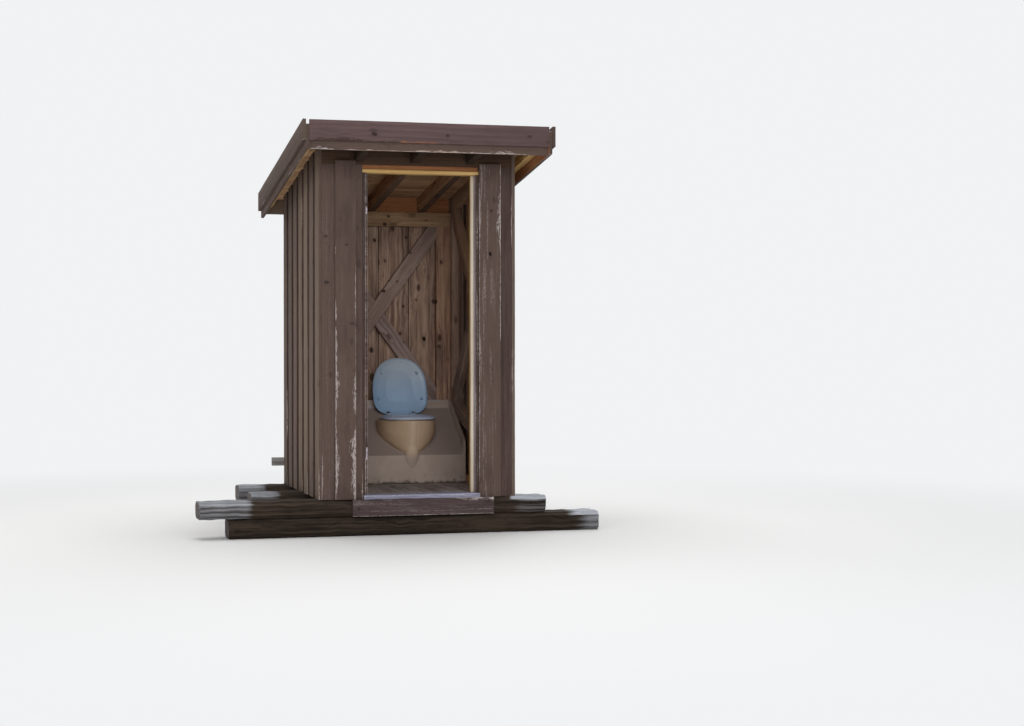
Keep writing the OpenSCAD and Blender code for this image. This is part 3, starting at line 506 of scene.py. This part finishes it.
def felt():
    """Mineral felt: dark granules, laps across the slope, a little lichen."""
    m = Mat("felt")
    x, y, z = m.obj()
    p = m.vec(x, y, z)
    grit = m.noise(p, 420.0, 2.0, 0.6)
    cloud = m.noise(p, 3.5, 5.0, 0.6)
    col = m.mix(m.step(cloud, 0.3, 0.72), lin(44, 43, 45), lin(60, 58, 58))
    col = m.mix(m.mul(m.step(grit, 0.5, 0.7), 0.5), col, lin(92, 90, 88))
    wobble = m.mul(m.sub(m.noise(m.vec(x, 0.0, 0.0), 3.0, 3.0), 0.5), 0.012)
    lap = m.math("FRACT", m.mul(m.add(m.add(y, 1.13), wobble), 1 / 0.66))
    line = m.step(lap, 0.0, 0.012, 1.0, 0.0)
    col = m.mix(m.mul(line, 0.7), col, lin(18, 18, 18))
    moss = m.mul(m.step(m.noise(p, 24.0, 6.0, 0.7), 0.62, 0.68), m.step(cloud, 0.5, 0.62))
    col = m.mix(m.mul(moss, 0.7), col, lin(92, 98, 72))
    height = m.add(m.mul(grit, 0.35), m.mul(lap, -2.2))
    m.bsdf.inputs["Specular IOR Level"].default_value = 0.2
    return m.done(col, 0.95, m.bump(m.add(height, m.mul(moss, 0.4)), 0.6, 0.0012))


def unit_moulding():
    """Tan moulding: the bowl cleaner and warmer than the base, with a painted highlight down its middle;
    dust and painted shade on the slope; dirt at the floor.
    """
    m = Mat("unit_plastic")
    x, y, z = m.obj()
    p = m.vec(x, y, z)
    mottle = m.noise(p, 7.0, 5.0, 0.6)
    patches = m.step(mottle, 0.35, 0.7)
    fine = m.noise(p, 150.0, 3.0, 0.5)
    bowl, hinge = m.uv("part")
    bowl = m.mul(bowl, m.step(z, 0.37, 0.48))
    col = m.mix(patches, lin(180, 163, 152), lin(168, 151, 137))
    warm = m.mix(patches, lin(204, 176, 147), lin(192, 164, 134))
    # painted highlight: a pale band down the middle of the bowl
    band = m.step(m.math("ABSOLUTE", m.sub(x, MID_X + 0.003)), 0.055, 0.0)
    warm = m.mix(m.mul(band, 0.55), warm, lin(228, 206, 180))
    col = m.mix(bowl, col, warm)
    # darker on upward-facing faces: dust, and painted shade on the sloping top
    up = m.split(m.node("ShaderNodeNewGeometry").outputs["Normal"])[2]
    dust_and_shade = m.mul(m.step(up, 0.35, 0.75), m.sub(1.0, bowl))
    col = m.mix(m.mul(dust_and_shade, 0.8), col, lin(150, 134, 127))
    grime = m.noise(p, 26.0, 5.0, 0.7)
    edge = m.step(grime, 0.35, 0.75, FLOOR_TOP - 0.002, FLOOR_TOP + 0.027)
    over = m.sub(z, edge)
    col = m.mix(m.mul(m.step(over, 0.016, -0.004), 0.75), col, lin(62, 54, 46))
    splash = m.mul(m.step(over, 0.09, 0.0), m.mul(m.step(grime, 0.5, 0.7), 0.3))
    col = m.mix(splash, col, lin(96, 84, 72))
    col = m.mix(hinge, col, lin(168, 180, 202))
    spot = m.step(m.noise(p, 60.0, 4.0, 0.7), 0.70, 0.76)
    col = m.mix(m.mul(spot, 0.35), col, lin(92, 80, 68))
    m.bsdf.inputs["Specular IOR Level"].default_value = 0.35
    roughness = m.step(mottle, 0.3, 0.7, 0.5, 0.62)
    return m.done(col, roughness, m.bump(m.add(m.mul(mottle, 0.4), m.mul(fine, 0.6)), 0.3, 0.0004))


MATS["felt"] = felt()
MATS["iron"] = plain("iron", lin(150, 138, 140), lin(196, 190, 198), 0.6, 90.0, 0.0008)
MATS["iron_nail"] = plain("iron_nail", lin(74, 62, 56), lin(104, 90, 82), 0.7, 60.0, 0.0004)
MATS["unit_plastic"] = unit_moulding()
MATS["seat_plastic"] = plain("seat_plastic", lin(176, 188, 210), lin(180, 192, 213), 0.34, 9.0)
MATS["lid_plastic"] = plain("lid_plastic", lin(150, 181, 213), lin(144, 175, 208), 0.38, 7.0,
                            fade=(lin(166, 179, 192), 0.78, 1.08))
MATS["pin_metal"] = plain("pin_metal", lin(170, 172, 176), lin(190, 192, 196), 0.35, 40.0, metallic=1.0)


# where the paint is gone
def profile(table, t):
    """Value of a table of (place, value) at a place, straight between its rows."""
    if t <= table[0][0]:
        return table[0][1]
    for (t0, v0), (t1, v1) in zip(table, table[1:]):
        if t <= t1:
            return v0 + (v1 - v0) * (t - t0) / (t1 - t0)
    return table[-1][1]


# Width of bare wood beside an upright edge: (pixel row of the photograph, millimetres), both read on
# enlarged crops. Left and right are the sides of the doorway.
WORN_ROWS_LEFT = {
    "left_over_left": [
        (213, 0), (215, 3), (217, 0), (249, 0), (250.5, 4), (252, 0), (283, 0), (286, 3), (289, 0),
        (299, 0), (302, 5), (305, 1), (307, 6), (314, 8), (321, 6), (323, 0), (330, 0), (332, 4),
        (336, 9), (350, 12), (365, 12), (369, 9), (374, 15), (389, 18), (400, 17), (409, 9), (416, 4),
        (432, 3), (440, 10), (452, 16), (457, 22), (463, 24), (473, 22), (478, 18), (484, 12), (496, 2),
    ],
    "left_over_right": [
        (264, 0), (267.5, 2), (282, 6), (288, 5), (302, 6), (310, 9), (315, 4), (318, 1), (340, 2),
        (365, 2), (371, 3), (380, 10), (391, 15), (400, 13), (410, 13), (412.5, 1), (428, 0), (431, 6),
        (437, 18), (442, 30), (450, 32), (462, 28), (468, 18), (474, 22), (482, 30), (489, 22), (496, 10),
    ],
    "corner_left": [
        (455, 0), (462, 5), (475, 7), (485, 6), (491, 3), (494, 0),
    ],
    "left_jamb": [
        (163, 3), (443, 3), (446, 0), (458, 0), (460, 4), (480, 5), (493, 6),
    ],
}
WORN_ROWS_RIGHT = {
    "right_over_left": [
        (186, 0), (190, 6), (205, 9), (230, 8), (253, 2), (300, 4), (335, 3), (350, 3), (351, 8),
        (357, 8), (358, 2), (405, 4), (440, 3), (470, 2), (490, 0),
    ],
    "right_over_right": [
        (160, 2), (169.5, 5), (190, 5), (193.6, 10), (205, 14), (214, 20), (223.5, 22), (235, 20),
        (241.8, 12), (248.7, 4), (258, 3), (272, 6), (300, 7), (325, 6), (335, 4), (338, 0),
    ],
}
# the same beside a level edge: (x in metres, millimetres)
WORN_ALONG = {
    "fascia_lower": [
        (-0.72, 0), (-0.7, 12), (-0.66, 14), (-0.6, 10), (-0.585, 0), (-0.5, 0), (-0.49, 6), (-0.455, 5),
        (-0.45, 1), (-0.4, 6), (-0.36, 7), (-0.35, 2), (-0.24, 3), (-0.23, 7), (-0.19, 7), (-0.185, 2),
        (-0.14, 6), (-0.05, 9), (0.06, 10), (0.14, 12), (0.2, 9), (0.3, 6), (0.314, 2), (0.345, 3),
        (0.36, 8), (0.42, 16), (0.47, 20), (0.51, 12), (0.53, 5), (0.6, 4), (0.66, 0),
    ],
    "fascia_upper": [
        (-0.73, 4), (-0.7, 16), (-0.6, 18), (-0.5, 19), (-0.42, 12), (-0.36, 5), (-0.3, 5), (-0.25, 11),
        (-0.15, 8), (-0.1, 9), (-0.03, 12), (0.03, 5), (0.08, 0),
    ],
    "kick_top": [
        (0.24, 0), (0.26, 14), (0.33, 22), (0.38, 12), (0.4, 2), (0.45, 14), (0.473, 16),
    ],
}
# the row at the camera's own height, and metres to a row on the front wall beside the doorway
LEVEL_ROW = 346.5
ROW_LEFT = 0.00609
ROW_RIGHT = 0.00623


def by_height(rows, metres_to_row):
    """Turns (pixel row, mm) into (height to the millimetre, mm), lowest first."""
    return sorted((round(CAMERA_AT[2] + (LEVEL_ROW - row) * metres_to_row, 3), mm) for row, mm in rows)


WEAR = dict(WORN_ALONG)
WEAR.update({name: by_height(rows, ROW_LEFT) for name, rows in WORN_ROWS_LEFT.items()})
WEAR.update({name: by_height(rows, ROW_RIGHT) for name, rows in WORN_ROWS_RIGHT.items()})


def wear_at(node, p, other, n, seed):
    """Reach of the bare wood in metres at p on one edge of a face; other is the far edge of the face."""
    left = p.x < other.x - 0.005
    right = p.x > other.x + 0.005
    front = n.y < -0.9
    if node == "front_over_boards" and front and (left or right):
        name = ("left" if p.x < 0 else "right") + "_over_" + ("left" if left else "right")
        return profile(WEAR[name], p.z) / 1000
    if node == "front_under_boards" and front and left and p.x < -0.55:
        return profile(WEAR["corner_left"], p.z) / 1000
    if node == "left_jamb" and right:
        return profile(WEAR["left_jamb"], p.z) / 1000
    if node == "front_fascia_lower" and front and p.z < other.z:
        return profile(WEAR["fascia_lower"], p.x) / 1000
    if node == "front_fascia_upper" and front and p.z < other.z:
        return profile(WEAR["fascia_upper"], p.x) / 1000
    if node == "kick_board" and front:
        return profile(WEAR["kick_top"], p.x) / 1000 if p.z > other.z else 0.0035
    if node == "threshold" and front and p.z > other.z:
        return 0.008
    if node == "threshold" and n.z > 0.9 and p.y < other.y:
        return 0.009
    if node.endswith(("over_boards", "under_boards")):
        base = noise.noise(Vector((p.z * 2.2, seed * 50, p.x * 3 + p.y * 3)))
        low = max(0.0, 0.55 - p.z) * 0.022
        return max(0.0, base - 0.22) * 0.016 + low * max(0.0, base + 0.3)
    if "barge" in node or "fascia" in node:
        base = noise.noise(Vector((p.y * 2.6, seed * 50, p.x * 2.6)))
        return max(0.0, base - 0.15) * 0.014
    return 0.0


SPOTS = {"left_jamb": 0.12, "front_fascia_lower": 0.1, "front_fascia_upper": 0.04, "left_barge_lower": 0.3,
         "threshold": 0.5}


def spots_at(node, p, n):
    """How spotted with bare wood a face is at p."""
    if node == "front_over_boards" and p.x > 0:
        return 0.75 if p.x < 0.42 else 0.02
    if node == "front_over_boards":
        return 0.06
    if node == "right_jamb":
        return 0.9 if n.y < -0.5 else 0.25
    if node == "kick_board":
        return 0.45 if p.x > 0.3 else 0.28
    return SPOTS.get(node, 0.1)


# where the ends of the base timbers start to bleach, in metres from the middle
RIGHT_BLEACH = 0.57
LEFT_BLEACH = {"front_sill": 0.98, "middle_sill": 0.72, "rear_sill": 0.72}
BEARER_BLEACH = 0.9


def share(value, start, length):
    """0 up to start, 1 past start + length, straight between."""
    return max(0.0, min(1.0, (value - start) / length))


def tone_at(node, p, n, seed):
    """How tan the bare wood is, and how bleached the timber."""
    if node == "front_fascia_upper":
        return (0.75 if -0.21 < p.x < 0.04 else 0.0, 0.0)
    if node in LEFT_BLEACH and p.x > 0:
        return (0.0, share(p.x, RIGHT_BLEACH, 0.06) * (1.0 if n.z > 0.5 else 0.25))
    if node in LEFT_BLEACH:
        return (0.0, share(-p.x, LEFT_BLEACH[node], 0.07) * (0.42 if n.z > 0.5 else 0.33))
    if node == "front_bearer":
        return (0.0, share(p.x, BEARER_BLEACH, 0.2) * (0.8 if n.z > 0.5 else 0.35))
    if node == "threshold":
        return (0.2, (0.85 if p.y < OUTER_EDGE else 0.68) if n.z > 0.5 else 0.45)
    if node == "front_over_boards":
        return (0.3 if -0.42 < p.x < 0.0 else 0.05, 0.0)
    return (0.2 + 0.25 * math.sin(seed * 40), 0.0)


# which face has which wood
INWARD = {
    "front": Vector((0, 1, 0)), "left": Vector((1, 0, 0)),
    "right": Vector((-1, 0, 0)), "rear": Vector((0, -1, 0)),
}
BASE = {
    "front_frieze": "eave_wood", "rear_braces": "brace_wood", "roof_boards": "loft_wood",
    "rafters": "rafter_wood", "left_barge_upper": "olive_wood", "left_barge_lower": "painted_wood",
    "right_barge_upper": "painted_wood", "right_barge_lower": "painted_wood", "right_braces": "dim_wood",
    "left_braces": "dim_wood", "right_top_rail": "dim_wood", "right_posts": "dim_wood",
    "left_posts": "dim_wood", "left_top_rail": "dim_wood", "front_top_rail": "orange_wood",
    "roof_felt": "felt", "rear_top_rail": "rail_wood", "rear_rail": "grey_wood",
    "kick_board": "kick_wood", "front_fascia_upper": "fascia_wood",
    "front_fascia_lower": "painted_wood", "left_under_boards": "gap_paint_and_shade_wood",
    "right_under_boards": "gap_paint_and_shade_wood", "rear_under_boards": "gap_paint_and_shade_wood",
}
CLADDING = ("over_boards", "under_boards", "frieze")


def face_wood(node, c, n):
    """Name of the wood on the face of a node that has its middle at c and its normal along n."""
    side = node.split("_")[0]
    # painted shade on the rafter tails outside the wall
    if node == "rafters" and c.y < OUTSIDE:
        return "painted_shade_tail_wood"
    if node == "roof_boards" and c.y < OUTSIDE:
        return "eave_wood"
    if node == "rear_frieze" and n.y < -0.5:
        return "orange_wood"
    if node.endswith(CLADDING) and n.dot(INWARD[side]) > 0.7:
        return "raw_wood" if side == "rear" else "dim_wood"
    # painted shade: the strip of front under boards between x 0.38 and 0.46 takes the darker gap wood
    if node == "front_under_boards" and n.dot(INWARD["front"]) < -0.7 and 0.38 < c.x < 0.46:
        return "gap_paint_and_shade_wood"
    if node in ("left_over_boards", "left_under_boards") and n.y < -0.5:
        return "painted_wood"
    if node == "right_barge_lower" and n.x < -0.7:
        return "orange_wood"
    if node == "right_jamb" and n.y < -0.5:
        return "painted_wood" if c.y < OUTER_EDGE else "cream_wood"
    if node == "right_jamb":
        return "reveal_wood" if n.x < -0.5 and c.y < STOP_FRONT else "stop_wood"
    if node == "left_jamb" and n.x > 0.5:
        return "reveal_wood"
    # painted light: the rafters' faces towards -x take the pale loft wood, lighter than their other faces
    if node == "rafters" and n.x < -0.5:
        return "loft_wood"
    return BASE.get(node, SLOTS[node])


# boards from the CAD solids
def loose_parts(bm):
    """Lists of faces that hang together."""
    seen, groups = set(), []
    for f in bm.faces:
        if f in seen:
            continue
        stack, group = [f], []
        seen.add(f)
        while stack:
            g = stack.pop()
            group.append(g)
            for e in g.edges:
                for h in e.link_faces:
                    if h not in seen:
                        seen.add(h)
                        stack.append(h)
        groups.append(group)
    return groups


def split_solids(mesh):
    """One bmesh per solid of a CAD node, with its flat faces merged."""
    src = bmesh.new()
    src.from_mesh(mesh)
    bmesh.ops.remove_doubles(src, verts=src.verts, dist=2e-6)
    bmesh.ops.dissolve_limit(src, angle_limit=math.radians(0.4), verts=src.verts, edges=src.edges)
    out = []
    for group in loose_parts(src):
        bm = bmesh.new()
        at = {}
        for f in group:
            for v in f.verts:
                if v not in at:
                    at[v] = bm.verts.new(v.co)
            bm.faces.new([at[v] for v in f.verts])
        bmesh.ops.recalc_face_normals(bm, faces=bm.faces)
        out.append(bm)
    src.free()
    return out


def main_axis(bm):
    best = max(bm.edges, key=lambda e: e.calc_length())
    d = (best.verts[1].co - best.verts[0].co).normalized()
    k = max(range(3), key=lambda i: abs(d[i]))
    return d if d[k] > 0 else -d


def face_planes(bm, axis):
    """Plane, grain directions and extent of each flat face of a board."""
    planes = []
    for f in bm.faces:
        n = f.normal.copy()
        is_end = abs(n.dot(axis)) > 0.7
        u = axis - n * axis.dot(n)
        if is_end:
            u = Vector((1, 0, 0)) if abs(n.x) < 0.7 else Vector((0, 1, 0))
            u = u - n * u.dot(n)
        u.normalize()
        v = n.cross(u)
        us = [x.co.dot(u) for x in f.verts]
        vs = [x.co.dot(v) for x in f.verts]
        planes.append((n, f.calc_center_median().dot(n), u, v, min(us), max(us), min(vs), max(vs), is_end))
    return planes


def cut(bm, way, at):
    """Cuts every face that the plane across way at a distance from the origin passes through."""
    bmesh.ops.bisect_plane(bm, geom=list(bm.verts) + list(bm.edges) + list(bm.faces), dist=1e-6,
                           plane_co=way * at, plane_no=way)


def roughen(bm, axis, rng, wave, bow):
    """Sawn unevenness: a slow bow and a quick ripple, square to the board and never under the ground."""
    start = rng.uniform(0, 90)
    for vert in bm.verts:
        slow = noise.noise_vector(Vector((vert.co.dot(axis) * 1.3, start, 0.0)))
        quick = noise.noise_vector(vert.co * 16.0 + Vector((start, 0, 0)))
        move = slow * bow + quick * wave
        vert.co += move - axis * move.dot(axis) * 0.5
        vert.co.z = max(vert.co.z, 0.0)


def board(bm, node, seed, names, bevel=0.002, pitch=0.05, wave=0.0006, bow=0.0008, cross=0.0):
    """Bevels a prism, cuts it along its length, gives it sawn unevenness and its UV maps. With cross it
    is cut across its width and height too, that far apart."""
    rng = random.Random(seed)
    axis = main_axis(bm)
    planes = face_planes(bm, axis)
    along = [x.co.dot(axis) for x in bm.verts]
    lo, hi = min(along), max(along)
    bmesh.ops.bevel(bm, geom=list(bm.edges), offset=bevel, segments=2, profile=0.5, affect="EDGES",
                    clamp_overlap=True)
    count = max(1, int((hi - lo) / pitch))
    for i in range(1, count):
        cut(bm, axis, lo + (hi - lo) * (i + rng.uniform(-0.2, 0.2)) / count)
    if cross:
        side = axis.cross(Vector((0, 0, 1))).normalized()
        for way in (side, axis.cross(side)):
            far = [v.co.dot(way) for v in bm.verts]
            steps = int((max(far) - min(far)) / cross)
            for i in range(1, steps):
                cut(bm, way, min(far) + (max(far) - min(far)) * i / steps)
    bm.normal_update()
    layers = {k: bm.loops.layers.uv.new(k) for k in ("grain", "dim", "seed", "kind", "wear", "tone")}
    s1, s2 = rng.random(), rng.random()
    for f in bm.faces:
        c = f.calc_center_median()
        n, d, u, v, u0, u1, v0, v1, is_end = max(
            planes, key=lambda p: f.normal.dot(p[0]) - 40 * abs(c.dot(p[0]) - p[1]))
        flat = f.normal.dot(n) > 0.97
        name = face_wood(node, c, n)
        if name not in names:
            names.append(name)
        f.material_index = names.index(name)
        for loop in f.loops:
            co = loop.vert.co
            pu = min(max(co.dot(u), u0), u1)
            pv = min(max(co.dot(v), v0), v1)
            low = n * d + u * pu + v * v0
            high = n * d + u * pu + v * v1
            side_v = pv if flat or is_end else (v0 if pv < (v0 + v1) / 2 else v1)
            loop[layers["grain"]].uv = (pu - u0, side_v - v0)
            loop[layers["dim"]].uv = (u1 - u0, v1 - v0)
            loop[layers["seed"]].uv = (s1, s2)
            loop[layers["kind"]].uv = (1.0 if is_end and flat else 0.0, spots_at(node, co, n))
            loop[layers["wear"]].uv = (wear_at(node, low, high, n, s1), wear_at(node, high, low, n, s1))
            loop[layers["tone"]].uv = tone_at(node, co, n, s1)
    roughen(bm, axis, rng, wave, bow)


def finish_piece(name, me, node, body="hut"):
    ob = bpy.data.objects.new(name, me)
    scene.collection.objects.link(ob)
    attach(ob, body)
    if node:
        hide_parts(node)


def dress(node, **options):
    """Replaces a CAD node of boards with its detailed boards."""
    out = bmesh.new()
    names = []
    for i, bm in enumerate(split_solids(NODES[node].data)):
        board(bm, node, f"{node}-{i}", names, **options)
        tmp = bpy.data.meshes.new("tmp")
        bm.to_mesh(tmp)
        out.from_mesh(tmp)
        bpy.data.meshes.remove(tmp)
        bm.free()
    me = bpy.data.meshes.new("v_" + node)
    out.to_mesh(me)
    out.free()
    for name in names:
        me.materials.append(MATS[name])
    for p in me.polygons:
        p.use_smooth = True
    me.set_sharp_from_angle(angle=math.radians(38))
    finish_piece("v_" + node, me, node)


OPTIONS = {
    "base_wood": dict(bevel=0.008, wave=0.006, bow=0.004, pitch=0.028, cross=0.03),
    "threshold_wood": dict(bevel=0.003, wave=0.0015, pitch=0.03),
}
for n in list(NODES):
    if SLOTS[n].endswith("_wood"):
        dress(n, **OPTIONS.get(SLOTS[n], {}))
dress("roof_felt", bevel=0.0012, wave=0.0008, bow=0.0015, pitch=0.04)


# nails
NAIL_RADIUS = 0.0036
NAIL_TOP_RADIUS = 0.0028
NAIL_DEPTH = 0.0016


def nails():
    """Flat nail heads in rows on the cladding, where the rails lie behind."""
    rng = random.Random("nails")
    bm = bmesh.new()
    for layer in ("over", "under"):
        for side in ("front", "left", "right", "rear"):
            out = -INWARD[side]
            across = Vector((abs(out.y), abs(out.x), 0))
            turn = Vector((0, 0, 1)).rotation_difference(out).to_matrix().to_4x4()
            for solid in split_solids(NODES[f"{side}_{layer}_boards"].data):
                co = [v.co for v in solid.verts]
                lo = Vector([min(c[i] for c in co) for i in range(3)])
                hi = Vector([max(c[i] for c in co) for i in range(3)])
                face = hi if out.x + out.y > 0 else lo
                shares = (0.25, 0.75) if layer == "over" and (hi - lo).dot(across) > 0.09 else (0.5,)
                for z in (lo.z + 0.05, lo.z + (hi.z - lo.z) * 0.52, hi.z - 0.13):
                    for part in shares:
                        mid = lo + (hi - lo) * part
                        at = Vector((face.x if out.x else mid.x, face.y if out.y else mid.y, z))
                        at += across * rng.uniform(-0.006, 0.006)
                        at += Vector((0, 0, rng.uniform(-0.008, 0.008)))
                        made = bmesh.ops.create_cone(bm, cap_ends=True, segments=10, radius1=NAIL_RADIUS,
                                                     radius2=NAIL_TOP_RADIUS, depth=NAIL_DEPTH)
                        bmesh.ops.transform(bm, matrix=turn, verts=made["verts"])
                        bmesh.ops.translate(bm, vec=at + out * 0.0006, verts=made["verts"])
                solid.free()
    me = bpy.data.meshes.new("nails")
    bm.to_mesh(me)
    bm.free()
    me.materials.append(MATS["iron_nail"])
    finish_piece("nail_heads", me, None)


nails()


# moulded toilet
NOSE_HALF_WIDTH = 0.047
NOSE_OUT = 0.030
NOSE_IN = 0.004
NOSE_Z = 0.447
NOSE_HALF_HEIGHT = 0.100
NOSE_TOP = 0.475
NOSE_FOOT = 0.335
TIP_Z = 0.43
BRACKET_FRONT = 0.485
BRACKET_FOOT = 0.672
BRACKET_REACH = 0.11


def nose(me):
    """Adds the rounded nose below the bowl's front to the moulding before it is remeshed."""
    bm = bmesh.new()
    bm.from_mesh(me)
    for v in bmesh.ops.create_icosphere(bm, subdivisions=4, radius=1.0)["verts"]:
        x, y, z = v.co
        wide = NOSE_HALF_WIDTH * (1 if z > 0 else 1 - 0.25 * z * z)
        out = NOSE_OUT if y < 0 else NOSE_IN
        v.co = (MID_X + x * wide, UNIT_FRONT + y * out, NOSE_Z + z * NOSE_HALF_HEIGHT)
    bm.to_mesh(me)
    bm.free()


def slope_plane():
    """A point and the normal of the unit's sloping top."""
    best = max((f for f in NODES["toilet_unit"].data.polygons if f.normal.z > 0.3 and f.normal.y < -0.2),
               key=lambda f: f.area)
    return best.center.copy(), best.normal.copy()


def soften(me, at, n):
    """Eases the bowl into the slope, and the nose into the front face."""
    bm = bmesh.new()
    bm.from_mesh(me)
    for v in bm.verts:
        if v.co.y < UNIT_FRONT and v.co.z < NOSE_TOP and -0.02 < v.co.x < 0.34:
            rise = max(0.0, (v.co.z - NOSE_FOOT) / (NOSE_TOP - NOSE_FOOT))
            v.co.y = UNIT_FRONT - (UNIT_FRONT - v.co.y) * rise ** 0.9
    seam = [v for v in bm.verts if -0.06 < v.co.x < 0.38 and 0.18 < v.co.y < 0.52
            and -0.006 < (v.co - at).dot(n) < 0.020]
    for _ in range(10):
        bmesh.ops.smooth_vert(bm, verts=seam, factor=0.5, use_axis_x=True, use_axis_y=True, use_axis_z=True)
    for reach, times in ((0.085, 14), (0.06, 16)):
        tip = [v for v in bm.verts if abs(v.co.x - MID_X) < reach and v.co.y < UNIT_FRONT + 0.018
               and TIP_Z - reach * 1.4 < v.co.z < TIP_Z + reach]
        for _ in range(times):
            bmesh.ops.smooth_vert(bm, verts=tip, factor=0.5, use_axis_x=False, use_axis_y=True,
                                  use_axis_z=False)
    bm.to_mesh(me)
    bm.free()


def mark_parts(me, at, n):
    """UV map 'part': how far a point stands out as part of the bowl, and whether it is on a bracket."""
    part = me.uv_layers.new(name="part")
    for loop in me.loops:
        co = me.vertices[loop.vertex_index].co
        inside = -0.07 < co.x < 0.39 and co.y < 0.56 and co.z > 0.33
        stands_out = max((co - at).dot(n), UNIT_FRONT - co.y)
        bracket = co.z > BRACKET_FOOT and co.y > BRACKET_FRONT and abs(co.x - MID_X) < BRACKET_REACH
        out = share(stands_out, 0.002, 0.016) if inside else 0.0
        part.data[loop.index].uv = (out, 1.0 if bracket else 0.0)


def evaluated(ob, name):
    me = bpy.data.meshes.new_from_object(ob.evaluated_get(bpy.context.evaluated_depsgraph_get()))
    me.name = name
    return me


def moulded(node, body, voxel, rounds, kept_share):
    """Smooth moulding from the CAD solid: remeshed finely, its edges eased, then thinned."""
    ob = bpy.data.objects.new("tmp_" + node, NODES[node].data.copy())
    if node == "toilet_unit":
        nose(ob.data)
    scene.collection.objects.link(ob)
    remesh = ob.modifiers.new("remesh", "REMESH")
    remesh.mode = "VOXEL"
    remesh.voxel_size = voxel
    smooth = ob.modifiers.new("smooth", "SMOOTH")
    smooth.factor = 0.5
    smooth.iterations = rounds
    if node == "toilet_unit":
        ob.data = evaluated(ob, "tmp_smooth")
        ob.modifiers.clear()
        soften(ob.data, *slope_plane())
    thin = ob.modifiers.new("thin", "DECIMATE")
    thin.ratio = kept_share
    me = evaluated(ob, "v_" + node)
    bpy.data.objects.remove(ob)
    if node == "toilet_unit":
        mark_parts(me, *slope_plane())
    me.materials.clear()
    me.materials.append(MATS[SLOTS[node]])
    for p in me.polygons:
        p.use_smooth = True
    finish_piece("v_" + node, me, node, body)


moulded("toilet_unit", "hut", 0.0036, 8, 0.30)
moulded("toilet_seat", "seat", 0.0022, 4, 0.4)
moulded("toilet_lid", "lid", 0.0022, 4, 0.4)

for n in ("hinge_leaves", "hinge_pins"):
    ob = NODES[n]
    for i in range(len(ob.material_slots)):
        ob.material_slots[i].material = MATS[SLOTS[n]]


# stage and light
BACKGROUND = (0.88, 0.89, 0.90)
FLOOR_COLOUR = (0.72, 0.72, 0.71)
FLOOR_RADIUS = 70.0


def stage():
    """Pale floor that turns to the background's colour in the distance."""
    bm = bmesh.new()
    bmesh.ops.create_circle(bm, cap_ends=True, segments=96, radius=FLOOR_RADIUS)
    me = bpy.data.meshes.new("floor")
    bm.to_mesh(me)
    bm.free()
    ob = bpy.data.objects.new("floor", me)
    scene.collection.objects.link(ob)
    m = Mat("floor")
    x, y, _ = m.obj()
    far = m.math("SQRT", m.add(m.mul(x, x), m.mul(y, y)))
    path = m.node("ShaderNodeLightPath")
    seen = m.mul(path.outputs["Is Camera Ray"], m.step(far, 1.8, 6.5))
    m.put(m.bsdf.inputs["Base Color"], FLOOR_COLOUR)
    m.put(m.bsdf.inputs["Roughness"], 0.9)
    glow = m.node("ShaderNodeEmission")
    m.put(glow.inputs[0], BACKGROUND)
    mixer = m.node("ShaderNodeMixShader")
    for socket, value in zip(mixer.inputs, (seen, m.bsdf.outputs[0], glow.outputs[0])):
        m.put(socket, value)
    m.put(m.out.inputs[0], mixer.outputs[0])
    me.materials.append(m.mat)


def world():
    """Soft light from all round, and the plain background where a ray sees it directly."""
    made = bpy.data.worlds.new("world")
    scene.world = made
    made.use_nodes = True
    tree = made.node_tree
    tree.nodes.clear()
    out = tree.nodes.new("ShaderNodeOutputWorld")
    mixer = tree.nodes.new("ShaderNodeMixShader")
    around = tree.nodes.new("ShaderNodeBackground")
    around.inputs[0].default_value = (0.96, 0.96, 1.0, 1.0)
    around.inputs[1].default_value = 0.33
    behind = tree.nodes.new("ShaderNodeBackground")
    behind.inputs[0].default_value = (*BACKGROUND, 1.0)
    path = tree.nodes.new("ShaderNodeLightPath")
    seen = path.outputs["Is Camera Ray"]
    for ray in ("Is Glossy Ray", "Is Transmission Ray"):
        either = tree.nodes.new("ShaderNodeMath")
        either.operation = "MAXIMUM"
        tree.links.new(seen, either.inputs[0])
        tree.links.new(path.outputs[ray], either.inputs[1])
        seen = either.outputs[0]
    for socket, value in zip(mixer.inputs, (seen, around.outputs[0], behind.outputs[0])):
        tree.links.new(value, socket)
    tree.links.new(mixer.outputs[0], out.inputs[0])


# name, place, what it points at, size, power, colour
LAMPS = [
    ("key", (-7.5, -4.5, 5.5), (0, 0, 1.2), 4.0, 115, (1.0, 0.97, 0.95)),
    ("front", (-0.9, -9.0, 3.6), (0, 0, 1.0), 4.5, 280, (1, 1, 1)),
    ("top", (0.0, 0.4, 8.0), (0.0, 0.0, 0.0), 7.0, 560, (1, 1, 1)),
    ("back", (4.5, 7.5, 5.5), (0, 0, 1.2), 5.0, 200, (1, 1, 1)),
]


def lamp(name, place, target, size, power, colour):
    data = bpy.data.lights.new(name, "AREA")
    data.shape = "SQUARE"
    data.size = size
    data.energy = power
    data.color = colour
    ob = bpy.data.objects.new(name, data)
    ob.location = place
    ob.rotation_euler = (Vector(target) - Vector(place)).to_track_quat("-Z", "Y").to_euler()
    scene.collection.objects.link(ob)


stage()
world()
for row in LAMPS:
    lamp(*row)

scene.view_settings.view_transform = "Standard"
